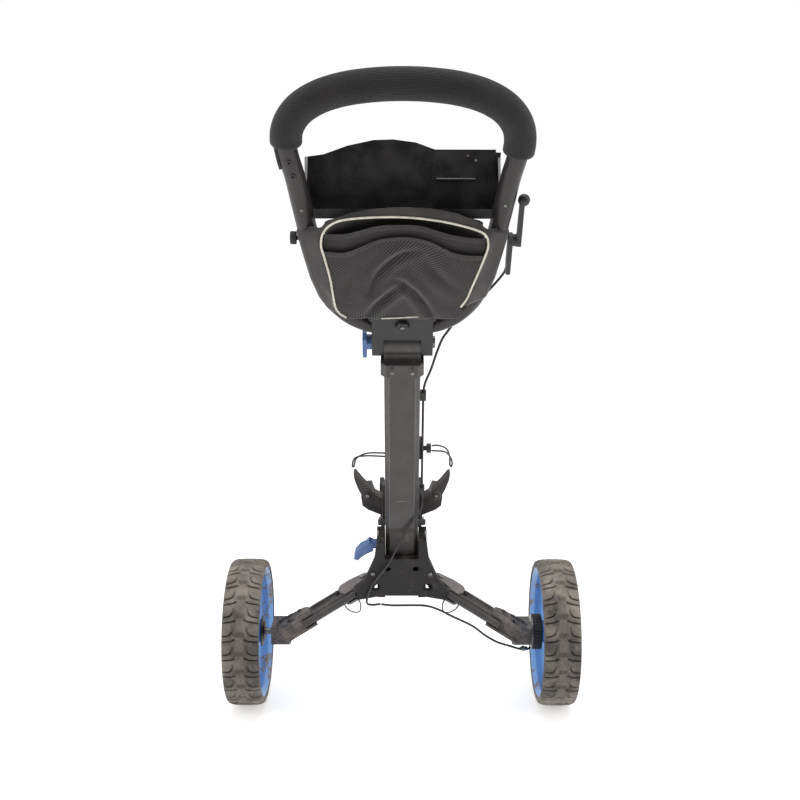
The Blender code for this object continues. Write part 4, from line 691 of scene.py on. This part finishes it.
skin("handle_frame_tube", on_handle(carried(handle_line, circle(0.0149, 36), (0, 1, 0))), "handle", dark_coat,
     stands_for=("handle_frame",))
finished("handle_yoke", (black_nylon, black_nylon_highlit_edge), 0.0016)
finished("hinge_pin", steel, 0.0006)
finished("upper_cradle", (cast_nylon, cast_nylon_highlit_edge), 0.0012)
for number, s in enumerate((0.354, 0.331)):
    screw_head(f"rail_screw_{number}", on_handle, (-rail_x(s) + 0.001, -0.0142, s), (0, -1, 0), (0, 0, 1),
               0.0048, 0.0024, "handle", black_nylon)
for number, (x, s) in enumerate(((-rail_x(0.272) + 0.001, 0.272), (rail_x(0.281) - 0.001, 0.281))):
    screw_head(f"rail_rivet_{number}", on_handle, (x, -0.0146, s), (0, -1, 0), (0, 0, 1), 0.0022, 0.0014,
               "handle", steel)

# ------------------------------------------------------------------ grip
# Soft black foam rubber, extruded with fine ribs along it and pushed over the arch; a moulded strap closes
# its left end on the outside. Ribs 2.2 mm apart; foam is matt and scatters light. Rib crests are painted
# paler, a painted highlight, and the hollows between them near black, painted shade.
foam, feed = principled("ribbed_black_foam", Roughness=0.88, Specular_IOR_Level=0.3, Sheen_Weight=0.35,
                        Sheen_Roughness=0.45)
foam_at = node(foam, "TexCoord")["Object"]
pores = node(foam, "TexNoise", {"Vector": foam_at, "Scale": 1 / 0.0011, "Detail": 3.0})["Fac"]
wear = node(foam, "TexNoise", {"Vector": foam_at, "Scale": 1 / 0.05, "Detail": 4.0})["Fac"]
rib_crest_highlight = node(foam, "Attribute", attribute_name="rib_crest_highlight")["Fac"]
foam_tone = node(foam, "Mix", {0: node(foam, "MapRange", wear, 0.35, 0.7)[0], 6: linear("#272526"),
                               7: linear("#343132")}, data_type="RGBA")[2]
# painted highlight on the rib crests and painted shade in the hollows between them
feed("Base Color", node(foam, "Mix", {0: node(foam, "MapRange", rib_crest_highlight, 0.3, 1.0, 0.0, 0.75)[0],
                                      6: linear("#1b1a1a"), 7: foam_tone}, data_type="RGBA")[2])
feed("Normal", node(foam, "Bump", {"Height": pores, "Strength": 0.5, "Distance": 0.00025})["Normal"])
GRIP_RIBS = 64
walked = np.concatenate(([0], np.cumsum(np.linalg.norm(np.diff(handle_line, axis=0), axis=1))))
left_s = (handle_line[:, 0] < 0) & (handle_line[:, 2] > 0.374)
right_s = (handle_line[:, 0] >= 0) & (handle_line[:, 2] > 0.349)
on_grip = np.flatnonzero(left_s | right_s)
grip_line = smooth_line(handle_line[on_grip[0]:on_grip[-1] + 1:4], 0.0042)
grip_turn = np.linspace(0, 2 * np.pi, GRIP_RIBS * 5, endpoint=False)
grip_run = np.linspace(0, 1, len(grip_line))
end_round = np.minimum(np.minimum(grip_run, 1 - grip_run) * len(grip_line) * 0.0042 / 0.0045, 1)
body_r = 0.0156 + 0.0072 * np.sqrt(1 - (1 - end_round) ** 2)
ribs = 0.5 + 0.5 * np.tanh(2.2 * np.cos(GRIP_RIBS * grip_turn))
grip_r = body_r[:, None] - 0.00045 * (1 - ribs) * end_round[:, None]
grip_profile = grip_r[..., None] * np.stack((np.cos(grip_turn), np.sin(grip_turn)), -1)
grip = skin("grip_foam", on_handle(carried(grip_line, grip_profile, (0, 1, 0))), "handle", foam, sharp=180,
            stands_for=("grip",))
grip.data.attributes.new("rib_crest_highlight", "FLOAT", "POINT").data.foreach_set(
    "value", np.broadcast_to(ribs, grip_r.shape).ravel())
strap_s = np.linspace(0.338, 0.380, 22)
strap_line = np.stack((-rail_x(strap_s) - 0.0156, 0 * strap_s, strap_s), -1)
flat = np.array([(-0.0012, -0.008), (0.0006, -0.009), (0.0012, -0.007), (0.0014, 0), (0.0012, 0.007),
                 (0.0006, 0.009), (-0.0012, 0.008), (-0.0008, 0)])
skin("grip_strap", on_handle(carried(strap_line, flat * (1.6, 1), (0, 1, 0))), "handle", black_nylon)

# ------------------------------------------------------------------ console
# A tray injection moulded in glossy black ABS, open at the back, with a hinged card flap at the right of its
# front wall. Gloss ABS mirrors the lamps; fine hairlines and dust show where hands and cards rub.
gloss, feed = principled("gloss_black_abs", Base_Color=linear("#161515"), Specular_IOR_Level=0.5,
                         Coat_Weight=0.35, Coat_Roughness=0.12)
gloss_at = node(gloss, "TexCoord")["Object"]
haze = node(gloss, "TexNoise", {"Vector": gloss_at, "Scale": 1 / 0.03, "Detail": 5.0})["Fac"]
drawn_out = node(gloss, "Mapping", {"Vector": gloss_at, "Scale": (60, 900, 900)})["Vector"]
hair = node(gloss, "TexNoise", {"Vector": drawn_out, "Scale": 1.0, "Detail": 2.0})["Fac"]
feed("Base Color", node(gloss, "Mix", {0: node(gloss, "MapRange", haze, 0.45, 0.75)[0],
                                       6: linear("#151414"), 7: linear("#272524")}, data_type="RGBA")[2])
feed("Roughness", node(gloss, "MapRange", haze, 0.35, 0.7, 0.20, 0.42)[0])
feed("Normal", node(gloss, "Bump", {"Height": hair, "Strength": 0.10, "Distance": 0.00005})["Normal"])
finished("console_tray", gloss, 0.0009, segments=3)
finished("card_flap", gloss, 0.0007)
for number, (x, z) in enumerate(((0.1000, 0.0880), (0.1120, 0.0810))):
    screw_head(f"flap_stud_{number}", on_tray, (x, 0.0822, z), (0, -1, 0), (1, 0, 0), 0.0022, 0.0012,
               "card_flap", steel)
# ball rest: an oval dish with a raised lip in the tray's floor
dish_turn = np.linspace(0, 2 * np.pi, 72, endpoint=False)
dish = np.array([(0.0060, 0.0004), (0.0150, 0.0006), (0.0195, 0.0016), (0.0215, 0.0034), (0.0228, 0.0036),
                 (0.0240, 0.0026), (0.0246, 0.0003)])
dish_grid = np.stack((-0.026 + 1.25 * dish[:, :1] * np.cos(dish_turn),
                      0.040 + dish[:, :1] * np.sin(dish_turn), 0.0025 + dish[:, 1:] + 0 * dish_turn), -1)
skin("ball_rest", on_tray(dish_grid), "handle", gloss, sharp=180)

# ------------------------------------------------------------------ pocket
# A sewn pocket under the console: a skin of matt black laminated polyester wraps both rails, two mesh panels
# with taped top hems hang in its opening one in front of the other, and a pale cord piping is sewn round the
# opening. The cloth is not simulated: bulges, sag and drawn folds are added to each sheet.
PIPING_R = 0.0016
piping_knots = np.array([(-0.0880, 0.0830), (-0.0990, 0.0930), (-0.1050, 0.1104), (-0.1095, 0.1582),
                         (-0.1165, 0.2000),
                         (-0.1205, 0.2220), (-0.1175, 0.2440), (-0.1061, 0.2600), (-0.0868, 0.2695),
                         (-0.0462, 0.2745),
                         (0.0043, 0.2748), (0.0550, 0.2680), (0.0990, 0.2555), (0.1200, 0.2445),
                         (0.1262, 0.2270),
                         (0.1225, 0.2023), (0.1060, 0.1445), (0.0988, 0.1205), (0.0905, 0.1050)])
piping_line = smooth_line(piping_knots, 0.002)
left_edge = piping_line[:np.argmax(piping_line[:, 1] > 0.2435)]
right_edge = piping_line[np.argmin(np.abs(piping_line[:, 0] - 0.1205)):][::-1]


def edge_x(line, s):
    """Where a side of the opening is, at heights along the handle."""
    order = np.argsort(line[:, 1])
    return np.interp(s, line[order, 1], line[order, 0])


def drawn_fold(x, s, knots, width):
    """A fold drawn along a smooth line: how deep the cloth lies at each point, by its distance to the line.
    The fold dies out at both ends, and the cloth stands a little proud beside it."""
    line = smooth_line(knots, 0.003)
    away = np.linalg.norm(np.stack((x, s), -1)[..., None, :] - line, axis=-1)
    run = away.argmin(-1) / (len(line) - 1)
    away = away.min(-1)
    return (np.exp(-(away / width) ** 2) - 0.5 * np.exp(-((away - 1.9 * width) / (1.1 * width)) ** 2)) \
        * np.sin(np.pi * np.clip(run, 0.04, 0.96)) ** 0.6


MESH_WIDE_MM, MESH_HIGH_MM = 236, 150       # the mesh's pattern, a little over the front panel's flat size


def cloth(name, tone, shine, thread, hole_shade, threads_mm, **sockets):
    """Knitted mesh: threads cross on the bias with holes between them, one way stronger than the other. The
    pattern follows the sheet's own map, and threads_mm is the threads' spacing. The relief raises the
    threads."""
    material, feed = principled(name, Roughness=shine, Sheen_Weight=0.25, Sheen_Roughness=0.5, **sockets)
    place = node(material, "SeparateXYZ", {"Vector": node(material, "UVMap", uv_map="run")["UV"]})
    lines = []
    for way in (1, -1):
        along = node(material, "Math", place["X"], math.pi * MESH_WIDE_MM / threads_mm,
                     operation="MULTIPLY")["Value"]
        up = node(material, "Math", place["Y"], way * math.pi * MESH_HIGH_MM / threads_mm,
                  operation="MULTIPLY")["Value"]
        both = node(material, "Math", along, up, operation="ADD")["Value"]
        wave = node(material, "Math", both, operation="SINE")["Value"]
        lines.append(node(material, "Math", wave, operation="ABSOLUTE")["Value"])
    cross = node(material, "MapRange", lines[1], 0.0, 1.0, 0.55, 1.0)[0]
    hole = node(material, "Math", lines[0], cross, operation="MULTIPLY")["Value"]
    fluff = node(material, "TexNoise", {"Vector": node(material, "TexCoord")["Object"], "Scale": 1 / 0.02,
                                        "Detail": 3.0})["Fac"]
    yarn = node(material, "Mix", {0: fluff, 6: linear(thread), 7: linear(tone)}, data_type="RGBA")[2]
    # the holes are painted near black: painted shade of the pocket's inside seen through them
    feed("Base Color", node(material, "Mix", {0: node(material, "MapRange", hole, 0.34, 0.70)[0], 6: yarn,
                                              7: linear(hole_shade)}, data_type="RGBA")[2])
    raised = node(material, "MapRange", hole, 0.2, 0.7, 1.0, 0.0)[0]
    feed("Normal", node(material, "Bump", {"Height": raised, "Strength": 0.6, "Distance": 0.0006})["Normal"])
    return material


# knitted polyester: threads 2 mm apart in fact, drawn 5 mm apart so that the bias shows; its holes are painted
# near black, painted shade of the pocket's inside
mesh_cloth = cloth("grey_polyester_mesh", "#2c2a29", 0.88, "#454240", "#070606", 5.2)
# laminated polyester: matt black with a plain weave 0.9 mm across, drawn coarse enough to show
laminate, feed = principled("black_laminated_polyester", Roughness=0.80, Sheen_Weight=0.25,
                            Sheen_Roughness=0.4)
laminate_at = node(laminate, "TexCoord")["Object"]
weave = [node(laminate, "TexWave", {"Vector": laminate_at, "Scale": 1 / 0.0057, "Distortion": 0.4},
              wave_type="BANDS", bands_direction=way)["Fac"] for way in ("X", "Z")]
woven = node(laminate, "Math", weave[0], weave[1], operation="MULTIPLY")["Value"]
rubbed = node(laminate, "TexNoise", {"Vector": laminate_at, "Scale": 1 / 0.04, "Detail": 5.0})["Fac"]
feed("Base Color", node(laminate, "Mix", {0: node(laminate, "MapRange", rubbed, 0.4, 0.75)[0],
                                          6: linear("#262323"), 7: linear("#3b3634")}, data_type="RGBA")[2])
feed("Normal", node(laminate, "Bump", {"Height": woven, "Strength": 0.35, "Distance": 0.0002})["Normal"])
# piping: a cord wrapped in pale grey-beige tape, stitched close beside it
piping_tape, feed = principled("pale_piping_tape", Roughness=0.62, Sheen_Weight=0.2)
tape_at = node(piping_tape, "TexCoord")["Object"]
soil = node(piping_tape, "TexNoise", {"Vector": tape_at, "Scale": 1 / 0.008, "Detail": 5.0})["Fac"]
wrap = node(piping_tape, "TexWave", {"Vector": tape_at, "Scale": 1 / 0.008},
            bands_direction="DIAGONAL")["Fac"]
feed("Base Color", node(piping_tape, "Mix", {0: node(piping_tape, "MapRange", soil, 0.4, 0.8)[0],
                                             6: linear("#d2cdc1"), 7: linear("#a79e90")}, data_type="RGBA")[2])
feed("Normal", node(piping_tape, "Bump", {"Height": wrap, "Strength": 0.3, "Distance": 0.00015})["Normal"])


def shell(name, grid, material, thickness, stands_for=()):
    """A sheet over a grid with a thickness laid behind it, away from the eye."""
    sheet = skin(name, on_handle(grid), "handle", material, around=False, sharp=180,
                 stands_for=stands_for)
    wall = sheet.modifiers.new("thickness", "SOLIDIFY")
    wall.thickness = thickness
    wall.offset = -1
    return sheet


# the skin: from the piping over each rail's back to its outer side, and a narrow band under the console
ring = piping_line[::2]
side_share = np.clip((0.250 - ring[:, 1]) / 0.022, 0, 1)
side_share = side_share * side_share * (3 - 2 * side_share)
sign = np.sign(ring[:, 0])
rail_at = rail_x(np.clip(ring[:, 1], 0.0386, 0.46))
top_x = ring[:, 0] * 1.035
brow = np.interp(np.abs(top_x), (0, 0.040, 0.079, 0.114, 0.1275), (0.2892, 0.2867, 0.2782, 0.2612, 0.2412))
top_s = np.maximum(ring[:, 1] + 0.003, brow)
lanes = []
for lane, (reach, y) in enumerate(((None, -0.0334), (-0.018, -0.0330), (-0.006, -0.0245), (0.004, -0.0175),
                                   (0.0115, -0.0125), (0.0160, -0.0050), (0.0168, 0.0030), (0.0125, 0.0118))):
    if lane == 0:
        lanes.append(np.stack((ring[:, 0], y + 0 * ring[:, 0], ring[:, 1]), -1))
        continue
    share = lane / 7
    side_point = np.stack((sign * np.maximum(rail_at + reach, np.abs(ring[:, 0]) + 0.001 * lane),
                           y + 0 * rail_at, ring[:, 1] - 0.004 * share), -1)
    top_point = np.stack((ring[:, 0] + (top_x - ring[:, 0]) * share,
                          -0.0334 + 0.003 * share ** 2 + 0 * ring[:, 0],
                          ring[:, 1] + (top_s - ring[:, 1]) * share), -1)
    lanes.append(side_share[:, None] * side_point + (1 - side_share[:, None]) * top_point)
skin_grid = np.stack(lanes)
skin_grid = smooth_line(skin_grid.reshape(len(lanes), -1), 0.02).reshape(-1, len(ring), 3)
pocket_skin = shell("pocket_skin", skin_grid, laminate, 0.0010, ("pocket",))

# the liner: the dark back of the pocket, a shallow bag behind the mesh
across_bag, down_bag = np.meshgrid(np.linspace(0, 1, 49), np.linspace(0, 1, 41))
bag_s = 0.262 - down_bag * (0.262 - 0.086)
bag_x = edge_x(left_edge, bag_s) * (1 - across_bag) + edge_x(right_edge, bag_s) * across_bag
bag_y = -0.0290 + 0.0440 * np.sin(np.pi * across_bag) ** 0.5 * np.sin(np.pi * np.clip(down_bag * 0.9 + 0.08,
                                                                                      0, 1)) ** 0.6
liner_grid = np.stack((bag_x * 0.97, np.minimum(bag_y, 0.0165), bag_s), -1)
liner = shell("pocket_liner", liner_grid, laminate, 0.0008)

# the two mesh panels and their hems
hems = {"rear": np.array([(-0.117, 0.2375), (-0.0838, 0.2375), (-0.058, 0.2450), (-0.0321, 0.2525),
                          (-0.0029, 0.2540),
                          (0.0263, 0.2525), (0.0500, 0.2440), (0.0706, 0.2365), (0.0980, 0.2310),
                          (0.1230, 0.2295)]),
        "front": np.array([(-0.1165, 0.2110), (-0.0848, 0.2090), (-0.0580, 0.2200), (-0.0324, 0.2330),
                           (0.0044, 0.2375), (0.0339, 0.2310), (0.0550, 0.2190), (0.0714, 0.2100),
                           (0.0950, 0.2040), (0.1195, 0.2035)])}
folds = [([(-0.0570, 0.0780), (-0.0400, 0.1090), (-0.0160, 0.1370), (0.0010, 0.1560)], 0.0062, 0.0060),
         ([(-0.0060, 0.1600), (0.0140, 0.1420), (0.0330, 0.1120), (0.0500, 0.0760)], 0.0062, 0.0060),
         ([(0.0230, 0.2160), (-0.0020, 0.2080), (-0.0255, 0.1870), (-0.0400, 0.1640), (-0.0495, 0.1350)],
          0.0060, 0.0055),
         ([(0.0290, 0.2080), (0.0400, 0.1860), (0.0620, 0.1580), (0.0800, 0.1400)], 0.0075, 0.0032),
         ([(-0.0700, 0.1900), (-0.0820, 0.1500), (-0.0840, 0.1150)], 0.0085, 0.0026)]
for layer, base_y, bottom in (("rear", -0.0262, 0.150), ("front", -0.0335, 0.0795)):
    top = smooth_line(hems[layer], 0.002)
    u, v = np.meshgrid(np.linspace(0, 1, 121), np.linspace(0, 1, 81))
    s = np.interp(-0.117 + 0.240 * u, top[:, 0], top[:, 1]) * (1 - v) + bottom * v
    x = edge_x(left_edge, s) * (1 - u) + edge_x(right_edge, s) * u
    puff = np.sin(np.pi * u) ** 0.8 * np.sin(np.pi * np.clip(v, 0, 1)) ** 0.7
    y = base_y - (0.0055 if layer == "front" else -0.002) * puff
    if layer == "front":
        for knots, width, depth_of in folds:
            y = y + depth_of * drawn_fold(x, s, knots, width) * np.clip(v * 6, 0, 1)
        y = y + 0.0011 * np.sin(9 * u + 5 * v) * np.sin(4.1 * u - 7 * v) * puff
    panel_grid = np.stack((x, y, s), -1)
    panel = shell(f"pocket_mesh_{layer}", panel_grid, mesh_cloth, 0.0006)
    hem_s = np.interp(-0.117 + 0.240 * u[0], top[:, 0], top[:, 1])
    hem_line = np.stack((edge_x(left_edge, hem_s) * (1 - u[0]) + edge_x(right_edge, hem_s) * u[0],
                         y[0] - 0.0006, hem_s - 0.0035), -1)
    tape = np.array([(0.0046, -0.0004), (0.0046, 0.0004), (0.0020, 0.0010), (-0.0020, 0.0010),
                     (-0.0046, 0.0004), (-0.0046, -0.0004), (0, -0.0006)])
    hem = skin(f"pocket_hem_{layer}", on_handle(carried(hem_line, tape, (0, 1, 0))), "handle", mesh_cloth,
               sharp=60)
piping_path = np.stack((piping_line[:, 0], -0.0348 + 0 * piping_line[:, 0], piping_line[:, 1]), -1)
skin("pocket_piping", on_handle(carried(piping_path, circle(PIPING_R, 10), (0, 1, 0))), "handle", piping_tape)
low_piping = smooth_line([(-0.0330, -0.0352, 0.0815), (-0.0100, -0.0362, 0.0835), (0.0120, -0.0362, 0.0852),
                          (0.0250, -0.0352, 0.0853)], 0.002)
skin("pocket_piping_bottom", on_handle(carried(low_piping, circle(0.0011, 10), (0, 1, 0))), "handle",
     piping_tape)

# ------------------------------------------------------------------ knobs, brake lever and brake cable
# Moulded nylon knobs with gripping lobes and a steel screw; the brake lever is black nylon on a steel
# bracket, and works a cable in a black PVC sheath, 4.2 mm, clipped down the mast to the drum on the right
# wheel.
knob_turn = np.linspace(0, 2 * np.pi, 96, endpoint=False)
lobes = 0.0106 + 0.0009 * np.cos(6 * knob_turn)
star_rows = np.array([(0.92, -0.0303), (1.0, -0.0312), (1.0, -0.0358), (0.94, -0.0374), (0.80, -0.0382),
                      (0.46, -0.0376), (0.40, -0.0368)])
star = np.stack((star_rows[:, :1] * lobes * np.cos(knob_turn), star_rows[:, 1:] + 0 * knob_turn,
                 0.062 + star_rows[:, :1] * lobes * np.sin(knob_turn)), -1)
skin("yoke_knob_star", on_handle(star), "yoke_knob", black_nylon, sharp=50, stands_for=("yoke_knob",))
screw_head("yoke_knob_screw", on_handle, (0, -0.0364, 0.062), (0, -1, 0), (0, 0, 1), 0.0034, 0.0016,
           "yoke_knob", steel)
THUMB_S = 0.2117
thumb_x = -float(rail_x(THUMB_S)) - 0.0166
knurl = 0.0095 + 0.0005 * np.cos(18 * knob_turn)
thumb_rows = np.array([(0.35, 0.0), (0.35, 0.0030), (0.88, 0.0034), (1.0, 0.0044), (1.0, 0.0118),
                       (0.92, 0.0128), (0.70, 0.0130), (0.66, 0.0122)])
thumb = np.stack((thumb_x - thumb_rows[:, 1:] + 0 * knob_turn, thumb_rows[:, :1] * knurl * np.cos(knob_turn),
                  THUMB_S + thumb_rows[:, :1] * knurl * np.sin(knob_turn)), -1)
skin("thumb_knob_knurled", on_handle(thumb), "thumb_knob", black_nylon, sharp=50, stands_for=("thumb_knob",))
finished("brake_bracket", (black_nylon, black_nylon_highlit_edge), 0.0010)
finished("brake_lever", (black_nylon, black_nylon_highlit_edge), 0.0012, sharp=40)
screw_head("brake_lever_pivot", on_handle, (0.1727, 0, 0.2079), (1, 0, 0), (0, 0, 1), 0.0048, 0.0016,
           "brake_lever", steel)

# black PVC sheath: satin, with a few dusty scuffs
sheath = weathered("black_pvc_sheath", "#232222", "#1a1919", "#6b655f", 0.15, 0.42, 0.0008, 0.00004, 0.02)
CABLE_X = TUBE_HALF + 0.0056
clip_top = 0.388 + 0.008
clip_low = 0.182 - 0.008
cable_runs = {
    "cable_handle": (on_handle, "handle", [
        (0.1600, 0.006, 0.1490), (0.1585, 0.010, 0.138), (0.1510, 0.016, 0.118), (0.1380, 0.020, 0.094),
        (0.1210, 0.022, 0.070), (0.1010, 0.022, 0.048), (0.0810, 0.020, 0.030)]),
    "cable_hinge": (on_mast, "mast", [
        (0.0800, 0.008, 0.5120), (0.0660, 0.002, 0.493), (0.0570, -0.004, 0.470), (0.0480, -0.008, 0.440),
        (0.0390, -0.010, 0.415), (CABLE_X, -0.010, clip_top + 0.0003)]),
    "cable_mast": (on_mast, "mast", [(CABLE_X, -0.010, clip_top), (CABLE_X, -0.010, 0.31),
                                     (CABLE_X, -0.010, 0.25), (CABLE_X, -0.010, clip_low)]),
    "cable_cross": (on_mast, "mast", [
        (CABLE_X, -0.0100, clip_low - 0.0003), (CABLE_X, -0.0110, clip_low - 0.010), (0.0340, -0.0280, 0.150),
        (0.0250, -0.0345, 0.136), (0.0160, -0.0350, 0.122), (0.0020, -0.0390, 0.095),
        (-0.0100, -0.0460, 0.071),
        (-0.0190, -0.0505, 0.050), (-0.0300, -0.0510, 0.028), (-0.0440, -0.0510, 0.005),
        (-0.0560, -0.0510, -0.018),
        (-0.0640, -0.0505, -0.045), (-0.0650, -0.0470, -0.066), (-0.0560, -0.0410, -0.0760),
        (-0.0400, -0.0370, -0.0780)]),
    "cable_leg": (on_base, "hub", [
        (-0.0385, -0.0390, 0.2142), (-0.0200, -0.0400, 0.2125), (0.0100, -0.0410, 0.2130),
        (0.0450, -0.0470, 0.2150),
        (0.0700, -0.0600, 0.2130), (0.0900, -0.0640, 0.2040), (0.1100, -0.0640, 0.1940),
        (0.1350, -0.0620, 0.1800),
        (0.1600, -0.0610, 0.1600), (0.1820, -0.0590, 0.1460), (0.2050, -0.0560, 0.1370),
        (0.2250, -0.0480, 0.1270), (0.2420, -0.0340, 0.1190), (0.2490, -0.0240, 0.1180)])}
for name, (seat_at, body, knots) in cable_runs.items():
    reference = (0.05, 1, 0.1) if name != "cable_leg" else (0.1, 0.25, 1)
    skin(name + "_sheath", seat_at(carried(smooth_line(knots, 0.003), circle(0.0021, 12), reference)), body,
         sheath, stands_for=(name,))
# barrel adjuster at the cable's lower end, zinc plated, with a knurled lock ring
barrel = np.array([(0.0026, 0), (0.0036, 0.0008), (0.0036, 0.0060), (0.0052, 0.0064), (0.0055, 0.0072),
                   (0.0055, 0.0104), (0.0050, 0.0112), (0.0034, 0.0116), (0.0034, 0.0200), (0.0026, 0.0206)])
barrel_turn = np.linspace(0, 2 * np.pi, 48, endpoint=False)
grip_ring = 1 - 0.05 * (barrel[:, :1] > 0.005) * (0.5 + 0.5 * np.cos(12 * barrel_turn))
barrel_at = on_base((0.2280, -0.0460, 0.1260))
barrel_run = on_base((0.2490, -0.0240, 0.1180)) - barrel_at
skin("cable_adjuster", lathed(barrel[:, :1] * grip_ring, barrel[:, 1:], barrel_at, barrel_run), "hub", steel)
